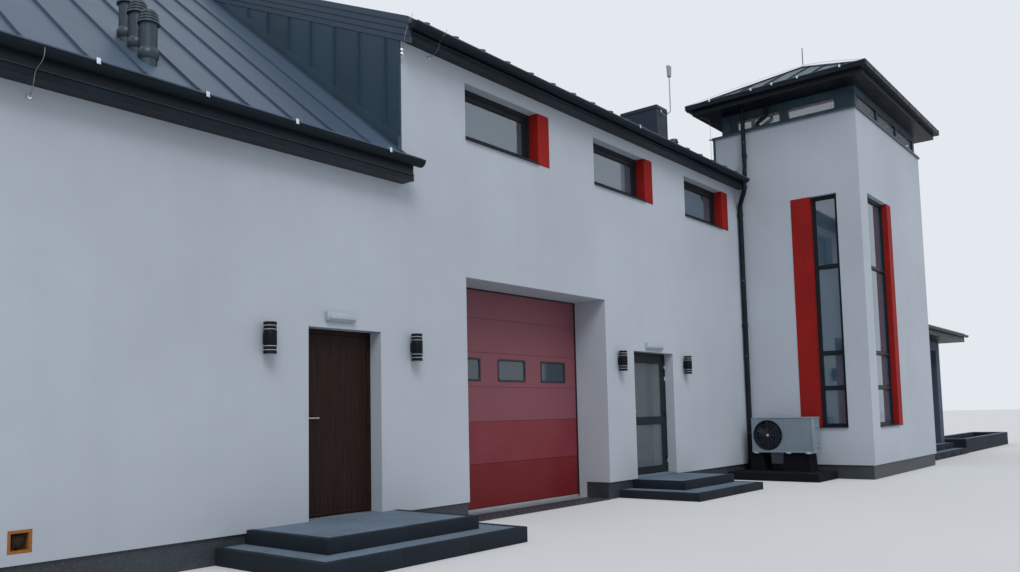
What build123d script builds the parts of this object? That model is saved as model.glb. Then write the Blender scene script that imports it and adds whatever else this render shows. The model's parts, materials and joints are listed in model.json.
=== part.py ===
"""Fire station: a long rendered hall under a steep seamed roof, a raised middle storey,
a stair tower with a glazed lantern, a vehicle door, two house doors, steps and a porch."""
from build123d import *
import math
import os

# Millimetres. X runs along the front from the left gable, Y into the building, Z up from the ground.

# Main body
end_length = 8000
middle_length = 14651
depth = 10400
wall = 450
plinth_height = 270
plinth_setback = 30
floor_level = 300
garage_level = 20
upper_floor_level = 4000
upper_floor_thickness = 250
floor_bearing = 150

# Roofs: heights of the boxed eaves at the wall face, and the build-ups measured upright
end_eave = 4255
middle_eave = 6089
roof_rise = 0.787
end_build = 440
middle_build = 330
eave_reach = 200
verge_reach = 60
verge_bands = 4
seam_pitch = 540
seam_first = 300
seam_width = 12
seam_height = 30
ridge_cap_reach = 160
ridge_cap_thickness = 20
cheek_sheet = 25
cheek_seam_pitch = 500
cheek_flashing_height = 150

# Gutters and pipes
gutter_radius = 80
gutter_wall = 6
end_gutter_drop = 40
middle_gutter_drop = 100
hook_pitch = 1080
hook_width = 30
hook_thickness = 8
pipe_radius = 50
pipe_wall_gap = 20
pipe_collar = 60
shoe_height = 150
corner_pipe_gap = 90
corner_gutter_gap = 200
corner_outlet_gap = 120
side_pipe_radius = 45
side_pipe_front = 215
elbow_radius = 40
elbow_front, elbow_back, elbow_setback = 680, 480, 50

# Tower
tower_width = 4731
tower_reach = 2511
tower_back = 515
tower_height = 7300
coping_thickness = 40
coping_reach = 30
lantern_setback = 145
lantern_wall = 120
lantern_height = 464
lantern_front_setback = 40
lantern_front_panes = 3
lantern_rail = 92
lantern_head = 154
lantern_side_panes = ((446, 1408), (1583, 2534))
tower_side_overhang = 410
tower_front_overhang = 280
tower_fascia = 216
tower_roof_rise = 0.547
tower_hip_run = 1927
tower_seam_pitch = 485
hip_cap_width = 110
tower_gutter_width = 110
tower_gutter_height = 100
rod_radius = 9
rod_height = 450

# Openings in the front. Starts are measured from the left gable, the raised storey or the tower
office_door_left, office_door_width, office_door_head = 6577, 1050, 2400
garage_start, garage_width, garage_head = 1149, 3367, 3224
side_door_start, side_door_width, side_door_head = 5378, 1362, 2429
entrance_start, entrance_width, entrance_head = 1817, 1900, 2429
upper_window_start, upper_window_end, upper_windows = 1185, 852, 3
gable_window_offset = 2400
window_width, window_height, window_sill_level = 1625, 788, 5108
lower_window_sill_level = 1600
rear_lower_windows, rear_upper_windows = 8, 5
window_depth = 161
frame_face = 65
frame_depth = 75
sash_face = 65
sash_setback = 15
transom_face = 60
glass_thickness = 24
glass_setback = 36
sill_thickness = 20
sill_reach = 35
band_width = 272
band_thickness = 6
tower_window_sill, tower_window_head = 994, 5664
tower_front_window_start, tower_front_window_width = 472, 1320
tower_side_window_start, tower_side_window_width = 1511, 543
tower_side_band_width = 385
tower_window_depth = 100
tower_transoms = (1777, 2474, 4216)

# Vehicle door
garage_door_depth = 617
garage_post = 200
panel_overlap = 50
panel_thickness = 42
panel_heights = (610, 610, 500, 500, 500, 500)
panel_gap = 6
panel_groove = 8
light_count = 3
light_width, light_height, light_margin = 665, 338, 300
light_panel = 3
seal_height = 60

# House doors
door_plane = 188
side_door_plane = 169
door_frame_face = 55
door_frame_depth = 75
leaf_thickness = 45
leaf_gap = 5
leaf_floor_gap = 8
leaf_rail = 110
mid_rail_level = 1231
hinge_radius = 9
hinge_length = 90
hinge_levels = (0.12, 0.5, 0.88)
handle_level = 1400
handle_length = 130
handle_radius = 10
handle_reach = 45
plate_width, plate_height, plate_thickness = 36, 220, 6

# Steps: how far each reaches past the door's left edge, past its right edge and to the front, and its height
platform_height = 300
step_height = 150
office_platform = (760, 255, 1262, 300)
office_step = (1090, 640, 1630, 162)
side_platform = (130, 330, 940, 262)
side_step = (540, 490, 1400, 122)
porch_platform_front, porch_step_front, porch_steps_length = 1750, 2100, 5449

# Planter beyond the porch steps
planter_length, planter_front, planter_back, planter_height, planter_wall = 6500, 2060, 950, 400, 80

# Porch
porch_length, porch_front = 5899, 2100
porch_soffit, porch_fascia, porch_rise = 3210, 200, 0.30
pillar_width, pillar_depth, pillar_inset, pillar_front = 400, 450, 450, 1500
beam_depth = 260

# Lamps
lamp_radius, lamp_height, lamp_bottom, lamp_ring = 68, 330, 2070, 30
office_lamp_gaps = (554, 508)
side_lamp_gaps = (488, 422)
lamp_gap = 20
lamp_foot = 60
office_emergency_light = (223, 400)
side_emergency_light = (392, 540)
emergency_bottom, emergency_height, emergency_depth = 2480, 100, 60

# Heat pump in the corner beside the tower
pump_reach, pump_depth, pump_width, pump_bottom, pump_height = 470, 337, 1265, 520, 688
pump_corner_gap = 270
pump_shell = 20
fan_offset, fan_level, fan_radius, fan_clearance = 334, 863, 270, 20
fan_blades, fan_hub_radius, fan_depth = 3, 60, 90
blade_pitch, blade_width, blade_thickness = 28, 130, 10
guard_rings, guard_spokes, guard_bar = 5, 8, 8
block_depth, block_reach = 400, 420
block_places = ((190, 300), (865, 565))
block_taper = 30
pump_slab_reach, pump_slab_front, pump_slab_height = 1020, 1790, 150

# Pipes and chimney on the roof
vent_x = 4860
vent_rows = (262, 478, 694)
vent_radius, vent_height, vent_cap_radius, vent_cap_height = 82, 507, 106, 128
vent_ball_radius, vent_ball_lift = 100, 70
vent_ribs, vent_rib_step = 4, 7
stub_start, stub_y, stub_radius, stub_height, stub_cap_height = 30, 1500, 85, 440, 80
chimney_start, chimney_width, chimney_front, chimney_length, chimney_top = 194, 486, 2000, 976, 8460
chimney_cap_reach, chimney_cap_thickness = 8, 80
aerial_radius, aerial_arm, aerial_rise, aerial_inset, aerial_drop = 14, 280, 190, 50, 60
aerial_height, aerial_head_length, aerial_head_width, aerial_head_depth = 920, 280, 160, 60

# Open socket near the left end of the front
socket_left, socket_size, socket_bottom, socket_depth, socket_rim = 3610, 190, 360, 90, 25

length = 2 * end_length + middle_length
ridge_y = depth / 2
middle_left = end_length
middle_right = end_length + middle_length
tower_right = middle_right
tower_left = tower_right - tower_width
garage_left = middle_left + garage_start
side_door_left = middle_left + side_door_start
entrance_left = tower_right + entrance_start
upper_window_left = middle_left + upper_window_start
upper_window_pitch = (tower_left - upper_window_end - window_width - upper_window_left) / (upper_windows - 1)
tower_front_window_left = tower_left + tower_front_window_start
porch_right = tower_right + porch_length
porch_steps_right = tower_right + porch_steps_length
planter_right = porch_steps_right + planter_length
pillar_right = porch_right - pillar_inset
pump_front = tower_left - pump_reach
chimney_left = tower_left + chimney_start
ridge_height = end_eave + end_build + roof_rise * ridge_y
middle_rise = (ridge_height - middle_build - middle_eave) / ridge_y
upper_floor_under = upper_floor_level - upper_floor_thickness
lantern_base = tower_height + coping_thickness
lantern_top = lantern_base + lantern_height
end_rim = end_eave + end_build - roof_rise * eave_reach - end_gutter_drop
middle_rim = middle_eave + middle_build - middle_rise * eave_reach - middle_gutter_drop


def block(x0, x1, y0, y1, z0, z1):
    """A plain block between two corners."""
    return Pos((x0 + x1) / 2, (y0 + y1) / 2, (z0 + z1) / 2) * Box(x1 - x0, y1 - y0, z1 - z0)


def along_x(outline, x0, x1):
    """A profile of (y, z) points run along X."""
    face = make_face(Polyline(*[(x0, y, z) for y, z in outline], close=True))
    return extrude(face, x1 - x0, dir=(1, 0, 0))


def to_rear(solid):
    """The same piece on the other side of the ridge."""
    return mirror(solid, about=Plane.XZ.offset(-ridge_y))


def to_right(solid):
    """The same piece at the other end of the building."""
    return mirror(solid, about=Plane.YZ.offset(length / 2))


def on_side(solid, turn, x=0, y=0):
    """A piece drawn for the front, turned to face another way."""
    return Location((x, y, 0), (0, 0, turn)) * solid


def upright(x, y, z0, z1, radius):
    """A round bar standing on end."""
    return Pos(x, y, (z0 + z1) / 2) * Cylinder(radius, z1 - z0)


def end_under(y):
    return end_eave + roof_rise * y


def middle_under(y):
    return middle_eave + middle_rise * y


def end_top(y):
    return end_under(y) + end_build


def middle_top(y):
    return middle_under(y) + middle_build


def window_slot(left, width, sill, height, depth_in=wall):
    """The hole of one window in a front-facing wall."""
    return block(left, left + width, -1, depth_in + 1, sill, sill + height)


def window_ring(left, width, sill, height, face, y0, y1):
    """Four profiles round a hole, mitred into one."""
    ring = block(left, left + width, y0, y1, sill, sill + height)
    return ring - block(left + face, left + width - face, y0 - 1, y1 + 1, sill + face, sill + height - face)


def window_frame(left, width, sill, height, plane, bars=()):
    """A frame for a front-facing hole: with an opening sash set back in it, or with bars across."""
    y0, y1 = plane, plane + frame_depth
    frame = window_ring(left, width, sill, height, frame_face, y0, y1)
    for z in bars:
        frame += block(left, left + width, y0, y1, z - transom_face / 2, z + transom_face / 2)
    if bars:
        return frame
    f = frame_face
    return frame + window_ring(left + f, width - 2 * f, sill + f, height - 2 * f, sash_face, y0 + sash_setback, y1)


def window_pane(left, width, sill, height, plane, frame):
    """One sheet of glass, cut where the frame stands."""
    y0 = plane + glass_setback
    sheet = block(left + 1, left + width - 1, y0, y0 + glass_thickness, sill + 1, sill + height - 1)
    return sheet - frame


def window_sill(left, width, sill, plane):
    return block(left, left + width, -sill_reach, plane, sill, sill + sill_thickness)


def red_band(edge, reveal_side, width, sill, height, plane):
    """A red strip beside a window and the red lining of the reveal next to it."""
    outer = edge + reveal_side * width
    inner = edge - reveal_side * band_thickness
    strip = block(min(edge, outer), max(edge, outer), -band_thickness, 0, sill, sill + height)
    lining = block(min(edge, inner), max(edge, inner), -band_thickness, plane,
                   sill + sill_thickness, sill + height)
    return strip + lining


upper_window_places = [upper_window_left + i * upper_window_pitch for i in range(upper_windows)]
rear_pitch = (length - 2 * wall) / rear_lower_windows
rear_window_places = [wall + rear_pitch * (i + 0.5) - window_width / 2 for i in range(rear_lower_windows)]
rear_upper_pitch = middle_length / rear_upper_windows
rear_upper_places = [middle_left + rear_upper_pitch * (i + 0.5) - window_width / 2
                     for i in range(rear_upper_windows)]
gable_window_places = [ridge_y + side * gable_window_offset - window_width / 2 for side in (-1, 1)]


def make_upper_floor():
    near = wall - floor_bearing
    slab = block(near, length - near, near, depth - near, upper_floor_under, upper_floor_level)
    slab -= block(tower_left, tower_left + wall, -tower_reach, tower_back, 0, tower_height)
    slab -= block(tower_right - wall, tower_right, -tower_reach, tower_back, 0, tower_height)
    slab -= block(tower_left, tower_right, -tower_reach, tower_back - wall, 0, tower_height)
    return slab


def make_ground_floor():
    """Raised floors beside the sunk floor of the vehicle bay."""
    bay_left = garage_left - 2 * garage_post
    bay_right = garage_left + garage_width + 2 * garage_post
    back = depth - wall
    left = block(wall, bay_left, wall, back, 0, floor_level)
    bay = block(bay_left, bay_right, wall, back, 0, garage_level)
    right = block(bay_right, length - wall, wall, back, 0, floor_level)
    right += block(tower_left + wall, tower_right - wall, wall - tower_reach, wall, 0, floor_level)
    right -= block(tower_left, tower_left + wall, wall, tower_back, 0, floor_level)
    right -= block(tower_right - wall, tower_right, wall, tower_back, 0, floor_level)
    return fuse([left, bay, right])


def fuse(solids):
    """Pieces that touch become one solid, pieces that don't stay apart."""
    first, *rest = solids
    return first + rest if rest else first


def make_plinth():
    """The dark base course, set back from the render, with a gap at the vehicle door."""
    inset = plinth_setback
    ring = block(inset, length - inset, inset, depth - inset, 0, plinth_height)
    ring += block(tower_left + inset, tower_right - inset, inset - tower_reach, depth / 2, 0, plinth_height)
    ring -= block(wall, length - wall, wall, depth - wall, -1, plinth_height + 1)
    ring -= block(tower_left + wall, tower_right - wall, wall - tower_reach, depth / 2, -1, plinth_height + 1)
    ring -= block(garage_left, garage_left + garage_width, -1, wall + 1, -1, plinth_height + 1)
    threshold = block(garage_left, garage_left + garage_width, 0, wall, 0, garage_level)
    return ring + threshold


def front_piece(x0, x1, z0=plinth_height):
    """A stretch of front wall up to the end roofs, or to the upper storey in the middle."""
    pieces = []
    if x0 < middle_left:
        outline = [(0, z0), (wall, z0), (wall, end_under(wall)), (0, end_under(0))]
        pieces.append(along_x(outline, x0, min(x1, middle_left)))
    if x1 > middle_left and x0 < middle_right:
        pieces.append(block(max(x0, middle_left), min(x1, middle_right), 0, wall, z0, upper_floor_level))
    if x1 > middle_right:
        outline = [(0, z0), (wall, z0), (wall, end_under(wall)), (0, end_under(0))]
        pieces.append(along_x(outline, max(x0, middle_right), x1))
    return fuse(pieces) - upper_floor


def make_front_wall_left():
    body = front_piece(wall, office_door_left)
    side = socket_size
    return body - block(socket_left, socket_left + side, -1, socket_depth, socket_bottom, socket_bottom + side)


def make_front_wall_garage():
    body = front_piece(office_door_left + office_door_width, side_door_left)
    return body - block(garage_left, garage_left + garage_width, -1, wall + 1, 0, garage_head)


def make_door_lintels():
    over_office = front_piece(office_door_left, office_door_left + office_door_width, office_door_head)
    over_side = front_piece(side_door_left, side_door_left + side_door_width, side_door_head)
    return Compound(children=[over_office, over_side])


def make_front_wall_far():
    body = front_piece(tower_right, length - wall)
    return body - block(entrance_left, entrance_left + entrance_width, -1, wall + 1, 0, entrance_head)


def make_front_wall_upper():
    outline = [(0, upper_floor_level), (wall, upper_floor_level), (wall, middle_under(wall)),
               (0, middle_under(0))]
    body = along_x(outline, middle_left, tower_left)
    for left in upper_window_places:
        body -= window_slot(left, window_width, window_sill_level, window_height)
    return body


def make_rear_wall_lower():
    outline = [(0, plinth_height), (wall, plinth_height), (wall, end_under(wall)), (0, end_under(0))]
    body = along_x(outline, wall, middle_left)
    body += block(middle_left, middle_right, 0, wall, plinth_height, upper_floor_level)
    body += along_x(outline, middle_right, length - wall)
    for left in rear_window_places:
        body -= window_slot(left, window_width, lower_window_sill_level, window_height)
    return to_rear(body) - upper_floor


def make_rear_wall_upper():
    outline = [(0, upper_floor_level), (wall, upper_floor_level), (wall, middle_under(wall)),
               (0, middle_under(0))]
    body = along_x(outline, middle_left, middle_right)
    for left in rear_upper_places:
        body -= window_slot(left, window_width, window_sill_level, window_height)
    return to_rear(body)


def make_left_gable_wall():
    outline = [(0, plinth_height), (depth, plinth_height), (depth, end_under(0)),
               (ridge_y, end_under(ridge_y)), (0, end_under(0))]
    body = along_x(outline, 0, wall)
    for start in gable_window_places:
        hole = window_slot(start, window_width, lower_window_sill_level, window_height)
        body -= on_side(hole, -90, 0, depth)
    hole = window_slot(ridge_y - window_width / 2, window_width, window_sill_level, window_height)
    body -= on_side(hole, -90, 0, depth)
    return body - upper_floor


def tower_front_slot():
    return window_slot(tower_front_window_left, tower_front_window_width, tower_window_sill,
                       tower_window_head - tower_window_sill)


def tower_side_slot():
    return window_slot(tower_side_window_start, tower_side_window_width, tower_window_sill,
                       tower_window_head - tower_window_sill)


def make_tower_front_wall():
    body = block(tower_left, tower_right, -tower_reach, wall - tower_reach, plinth_height, tower_height)
    return body - Pos(0, -tower_reach, 0) * tower_front_slot()


def make_tower_side_walls():
    left = block(tower_left, tower_left + wall, wall - tower_reach, tower_back, plinth_height, tower_height)
    left -= on_side(tower_side_slot(), -90, tower_left, 0)
    right = block(tower_right - wall, tower_right, wall - tower_reach, tower_back, plinth_height, tower_height)
    return Compound(children=[left, right])


def make_tower_back_wall():
    return block(tower_left + wall, tower_right - wall, tower_back - wall, tower_back,
                 upper_floor_level, tower_height)


def make_cheek_wall():
    """The side of the raised storey above the end roof, left front."""
    outline = [(wall, end_under(wall)), (wall, middle_under(wall)), (ridge_y, middle_under(ridge_y))]
    return along_x(outline, middle_left, middle_left + wall / 2)


def make_cheek_cladding():
    """Standing-seam sheet on the side of the raised storey, with a flashing along its foot."""
    meet = (middle_eave - end_eave - end_build) / (roof_rise - middle_rise)
    x1 = middle_left
    x0 = x1 - cheek_sheet
    sheet = along_x([(0, end_top(0)), (0, middle_under(0)), (meet, middle_under(meet))], x0, x1)
    y = cheek_seam_pitch / 2
    while y < meet - cheek_seam_pitch / 2:
        outline = [(y, end_top(y)), (y, middle_under(y)), (y + seam_width, middle_under(y + seam_width)),
                   (y + seam_width, end_top(y + seam_width))]
        sheet += along_x(outline, x0 - seam_height, x0)
        y += cheek_seam_pitch
    reach = meet - cheek_flashing_height / (roof_rise - middle_rise)
    foot = [(0, end_top(0)), (0, end_top(0) + cheek_flashing_height),
            (reach, end_top(reach) + cheek_flashing_height), (reach, end_top(reach))]
    return sheet + along_x(foot, x0 - seam_height - 5, x0)


def make_roof_half(x0, x1, eave, build, rise, seams):
    """One slope: boxed eave, build-up and standing seams."""
    top = eave + build
    outline = [(-eave_reach, eave), (0, eave), (ridge_y, eave + rise * ridge_y),
               (ridge_y, top + rise * ridge_y), (-eave_reach, top - rise * eave_reach)]
    slab = along_x(outline, x0, x1)
    seam = [(-eave_reach, top - rise * eave_reach), (ridge_y, top + rise * ridge_y),
            (ridge_y, top + rise * ridge_y + seam_height),
            (-eave_reach, top - rise * eave_reach + seam_height)]
    return slab + [along_x(seam, x, x + seam_width) for x in seams]


def make_front_roof_left():
    seams = [seam_first + i * seam_pitch for i in range(math.ceil((end_length - seam_first) / seam_pitch))]
    return make_roof_half(0, middle_left, end_eave, end_build, roof_rise, seams)


def make_front_roof_middle():
    first = middle_left + seam_first
    seams = [first + i * seam_pitch for i in range(math.ceil((middle_length - seam_first) / seam_pitch))]
    body = make_roof_half(middle_left, middle_right, middle_eave, middle_build, middle_rise, seams)
    c = coping_reach
    body -= block(tower_left, tower_right + 1, -tower_reach, tower_back, 0, tower_height)
    return body - block(tower_left - c, tower_right + c, -tower_reach, tower_back + c, tower_height, lantern_top)


def make_rear_roof_middle():
    first = middle_left + seam_first
    seams = [first + i * seam_pitch for i in range(math.ceil((middle_length - seam_first) / seam_pitch))]
    return to_rear(make_roof_half(middle_left, middle_right, middle_eave, middle_build, middle_rise, seams))


def make_verge(x_wall, side, eave, build, rise, foot):
    """Stepped sheet bands up one verge, each standing a little further out than the one below."""
    band = build / verge_bands
    bands = []
    for i in range(verge_bands):
        low, high = eave + i * band, eave + (i + 1) * band
        outer = x_wall + side * verge_reach * (0.4 + 0.6 * (i + 1) / verge_bands)
        outline = [(foot, low + rise * foot), (ridge_y, low + rise * ridge_y),
                   (ridge_y, high + rise * ridge_y), (foot, high + rise * foot)]
        bands.append(along_x(outline, min(x_wall, outer), max(x_wall, outer)))
    return fuse(bands)


def make_gutter(x0, x1, rim):
    """A half-round gutter on the eave board, with hooks over it."""
    centre = -eave_reach - gutter_radius
    ring = Cylinder(gutter_radius, x1 - x0) - Cylinder(gutter_radius - gutter_wall, x1 - x0 - 2 * gutter_wall)
    trough = Pos((x0 + x1) / 2, centre, rim) * Rot(0, 90, 0) * ring
    trough -= block(x0 - 1, x1 + 1, centre - 2 * gutter_radius, 0, rim, rim + 2 * gutter_radius)
    hooks = []
    count = max(2, round((x1 - x0) / hook_pitch))
    for i in range(count):
        x = x0 + (i + 0.5) * (x1 - x0) / count
        hooks.append(block(x - hook_width / 2, x + hook_width / 2, -eave_reach - 2 * gutter_radius,
                           -eave_reach, rim - hook_thickness / 2, rim + hook_thickness / 2))
    return trough + hooks


def make_tower_gutter():
    """A box gutter round the tower roof."""
    x0, x1, y0, y1 = tower_eave_limits()
    top = lantern_top + tower_fascia - gutter_wall
    w, t = tower_gutter_width, gutter_wall
    outer = block(x0 - w, x1 + w, y0 - w, y1 + w, top - tower_gutter_height, top)
    outer -= block(x0 - w + t, x1 + w - t, y0 - w + t, y1 + w - t, top - tower_gutter_height + t, top + 1)
    floor_sheet = block(x0 - w, x1 + w, y0 - w, y1 + w, top - tower_gutter_height, top - tower_gutter_height + t)
    return outer + floor_sheet - block(x0, x1, y0, y1, 0, top + 1)


def make_gutters():
    left = make_gutter(-verge_reach, middle_left + verge_reach, end_rim)
    middle = make_gutter(middle_left - verge_reach, tower_left - corner_gutter_gap, middle_rim)
    middle_rear = make_gutter(middle_left - verge_reach, middle_right + verge_reach, middle_rim)
    rear_left = to_rear(make_gutter(-verge_reach, middle_left, end_rim))
    right = to_right(make_gutter(-verge_reach, middle_left - 1, end_rim))
    return Compound(children=[left, middle, right, rear_left, to_right(rear_left), to_rear(middle_rear),
                              make_tower_gutter()])


def tower_eave_limits():
    """The tower roof's outline: left, right, front, back."""
    side, front = tower_side_overhang, tower_front_overhang
    return tower_left - side, tower_right + side, -tower_reach - front, tower_back + front


def hipped_body(lift):
    """The tower roof's slopes over a flat soffit, raised by a thickness."""
    x0, x1, y0, y1 = tower_eave_limits()
    eave = lantern_top + tower_fascia + lift
    half = (y1 - y0) / 2
    top = eave + half * tower_roof_rise
    gable = along_x([(y0, lantern_top), (y1, lantern_top), (y1, eave), (y0 + half, top), (y0, eave)], x0, x1)
    run = tower_hip_run
    hip = [(x0, lantern_top), (x1, lantern_top), (x1, eave), (x1 - run, top + 1), (x0 + run, top + 1),
           (x0, eave)]
    face = make_face(Polyline(*[(x, y0, z) for x, z in hip], close=True))
    return gable & extrude(face, y1 - y0, dir=(0, 1, 0))


def slope_region(*corners):
    """Everything over one slope of the tower roof, seen from above."""
    face = make_face(Polyline(*[(x, y, lantern_top) for x, y in corners], close=True))
    return extrude(face, tower_height, dir=(0, 0, 1))


def make_tower_roof():
    """A hipped roof with a flat soffit, standing seams, hip and ridge caps, and a rod."""
    x0, x1, y0, y1 = tower_eave_limits()
    half = (y1 - y0) / 2
    middle = y0 + half
    low, high = lantern_top + tower_fascia, 2 * tower_height
    body = hipped_body(0)
    skin = hipped_body(seam_height) - body
    count = round((x1 - x0) / tower_seam_pitch)
    ribs = [block(x0 + i * (x1 - x0) / count, x0 + i * (x1 - x0) / count + seam_width, y0, y1, low, high)
            for i in range(1, count)]
    run = tower_hip_run
    across = slope_region((x0, y0), (x1, y0), (x1 - run, middle), (x0 + run, middle))
    across += slope_region((x0, y1), (x1, y1), (x1 - run, middle), (x0 + run, middle))
    front_ribs = (skin & fuse(ribs)) & across
    count = round((y1 - y0) / tower_seam_pitch)
    ribs = [block(x0, x1, y0 + i * (y1 - y0) / count, y0 + i * (y1 - y0) / count + seam_width, low, high)
            for i in range(1, count)]
    side_ribs = (skin & fuse(ribs)) - across
    caps = [block(x0 + run, x1 - run, middle - hip_cap_width / 2, middle + hip_cap_width / 2, low, high)]
    hip_turn = math.degrees(math.atan2(half, run))
    for x, y, turn in ((x0, y0, hip_turn), (x0, y1, -hip_turn), (x1, y0, 180 - hip_turn), (x1, y1, hip_turn - 180)):
        caps.append(Location((x, y, 0), (0, 0, turn)) * block(0, math.hypot(half, run), -hip_cap_width / 2,
                                                              hip_cap_width / 2, low, high))
    body = body + front_ribs + side_ribs + (skin & fuse(caps))
    top = lantern_top + tower_fascia + half * tower_roof_rise
    return body + upright(x0 + run, middle, top - 60, top + rod_height, rod_radius)


def make_lantern():
    """The glazed band under the tower roof, standing on the wall's metal coping."""
    s, t = lantern_setback, lantern_wall
    x0, x1, y0, y1 = tower_left + s, tower_right - s, lantern_front_setback - tower_reach, tower_back - s
    ring = block(x0, x1, y0, y1, lantern_base, lantern_top)
    ring -= block(x0 + t, x1 - t, y0 + t, y1 - t, lantern_base - 1, lantern_top + 1)
    z0, z1 = lantern_base + lantern_rail, lantern_top - lantern_head
    holes = []
    pitch = (x1 - x0 - 2 * t + lantern_rail) / lantern_front_panes
    for i in range(lantern_front_panes):
        low = x0 + t + i * pitch
        holes.append(block(low, low + pitch - lantern_rail, y0 - 1, y1 + 1, z0, z1))
    for low, high in lantern_side_panes:
        holes.append(block(x0 - 1, x1 + 1, low - tower_reach, high - tower_reach, z0, z1))
    inset = (t - glass_thickness) / 2
    sheet = block(x0 + inset, x1 - inset, y0 + inset, y1 - inset, z0, z1)
    sheet -= block(x0 + t - inset, x1 - t + inset, y0 + t - inset, y1 - t + inset, z0 - 1, z1 + 1)
    frame = ring - holes
    return frame, sheet - frame


def make_lantern_frame():
    c = coping_reach
    coping = block(tower_left - c, tower_right + c, -tower_reach - c, tower_back + c, tower_height, lantern_base)
    coping -= block(tower_left + wall, tower_right - wall, wall - tower_reach, tower_back - wall,
                    tower_height - 1, lantern_base + 1)
    return coping + lantern_frame


def all_windows():
    """Every fixed window as frame, glass, sill, red band."""
    frames, panes, sills, bands = [], [], [], []

    def add(left, sill, plane, place):
        frame = window_frame(left, window_width, sill, window_height, plane)
        pane = window_pane(left, window_width, sill, window_height, plane, frame)
        ledge = window_sill(left, window_width, sill, plane)
        frames.append(place(frame - ledge))
        panes.append(place(pane))
        sills.append(place(ledge))

    for left in upper_window_places:
        add(left, window_sill_level, window_depth, lambda s: s)
        bands.append(red_band(left + window_width, 1, band_width, window_sill_level, window_height,
                              window_depth))
    for left in rear_window_places:
        add(left, lower_window_sill_level, window_depth, to_rear)
    for left in rear_upper_places:
        add(left, window_sill_level, window_depth, to_rear)
    for left in gable_window_places:
        for place in (lambda s: on_side(s, -90, 0, depth), lambda s: to_right(on_side(s, -90, 0, depth))):
            add(left, lower_window_sill_level, window_depth, place)
    for place in (lambda s: on_side(s, -90, 0, depth), lambda s: to_right(on_side(s, -90, 0, depth))):
        add(ridge_y - window_width / 2, window_sill_level, window_depth, place)

    height = tower_window_head - tower_window_sill
    tall = [(tower_front_window_left, tower_front_window_width, lambda s: Pos(0, -tower_reach, 0) * s,
             tower_front_window_left + tower_front_window_width, 1, band_width),
            (tower_side_window_start, tower_side_window_width, lambda s: on_side(s, -90, tower_left, 0),
             tower_side_window_start, -1, tower_side_band_width)]
    for left, width, place, edge, side, band in tall:
        frame = window_frame(left, width, tower_window_sill, height, tower_window_depth, tower_transoms)
        pane = window_pane(left, width, tower_window_sill, height, tower_window_depth, frame)
        ledge = window_sill(left, width, tower_window_sill, tower_window_depth)
        frames.append(place(frame - ledge))
        panes.append(place(pane))
        sills.append(place(ledge))
        bands.append(place(red_band(edge, side, band, tower_window_sill, height, tower_window_depth)))
    return frames, panes, sills, bands


def make_garage_frame():
    """Posts and a head behind the wall, against which the door closes."""
    x0, x1 = garage_left - garage_post, garage_left + garage_width + garage_post
    frame = block(x0, x1, wall, garage_door_depth, garage_level, garage_head + garage_post)
    return frame - block(garage_left, garage_left + garage_width, wall - 1, garage_door_depth + 1,
                         garage_level - 1, garage_head)


def garage_panel_levels():
    levels = [garage_level + seal_height]
    for height in panel_heights:
        levels.append(levels[-1] + height)
    return levels


def garage_light_places():
    span = garage_width - 2 * light_margin
    pitch = (span - light_width) / (light_count - 1)
    return [garage_left + light_margin + i * pitch for i in range(light_count)]


def make_garage_door():
    """A sectional door: stacked panels with tongues, grooves and a bottom seal."""
    x0, x1 = garage_left - panel_overlap, garage_left + garage_width + panel_overlap
    y0, y1 = garage_door_depth, garage_door_depth + panel_thickness
    levels = garage_panel_levels()
    core = block(x0, x1, y0 + panel_groove, y1, garage_level, levels[-1])
    faces = [block(x0, x1, y0, y0 + panel_groove, low + panel_gap / 2, high - panel_gap / 2)
             for low, high in zip(levels, levels[1:])]
    seal = block(x0, x1, y0, y0 + panel_groove, garage_level, garage_level + seal_height - panel_gap)
    door = core + faces + seal
    centre = (levels[light_panel] + levels[light_panel + 1]) / 2
    for x in garage_light_places():
        door -= block(x, x + light_width, y0 - 1, y1 + 1, centre - light_height / 2, centre + light_height / 2)
    return door


def make_garage_door_lights():
    levels = garage_panel_levels()
    centre = (levels[light_panel] + levels[light_panel + 1]) / 2
    y0 = garage_door_depth
    panes = []
    for x in garage_light_places():
        panes.append(block(x, x + light_width, y0 + panel_groove, y0 + panel_thickness - 5,
                           centre - light_height / 2, centre + light_height / 2))
    return Compound(children=panes)


def door_leaf_limits(left, width, head):
    """The leaf inside its frame: left, right, bottom, top."""
    edge = door_frame_face + leaf_gap
    return left + edge, left + width - edge, floor_level + leaf_floor_gap, head - edge


def hinge_axis(left, width, head, plane):
    x0, x1, z0, z1 = door_leaf_limits(left, width, head)
    return x1 + leaf_gap / 2, plane - hinge_radius - 1


def hinge_halves(left, width, head, plane):
    """Knuckles on the frame and, above each, knuckles on the leaf, with their flaps."""
    x0, x1, z0, z1 = door_leaf_limits(left, width, head)
    x, y = hinge_axis(left, width, head, plane)
    on_frame, on_leaf = [], []
    half = hinge_length / 2
    flap = 3 * hinge_radius
    for share in hinge_levels:
        z = z0 + share * (z1 - z0)
        on_frame.append(upright(x, y, z - half, z - 1, hinge_radius))
        on_frame.append(block(x + leaf_gap / 2, x + flap, y, plane, z - half, z - 1))
        on_frame.append(block(x, x + flap, y - 2, y + 2, z - half, z - 1))
        on_leaf.append(upright(x, y, z + 1, z + half, hinge_radius))
        on_leaf.append(block(x - flap, x - leaf_gap / 2, y, plane, z + 1, z + half))
        on_leaf.append(block(x - flap, x, y - 2, y + 2, z + 1, z + half))
    return on_frame, on_leaf


def make_door_frame(left, width, head, plane):
    y0, y1 = plane, plane + door_frame_depth
    frame = block(left, left + width, y0, y1, floor_level, head)
    frame -= block(left + door_frame_face, left + width - door_frame_face, y0 - 1, y1 + 1,
                   floor_level - 1, head - door_frame_face)
    return frame + hinge_halves(left, width, head, plane)[0]


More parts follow.
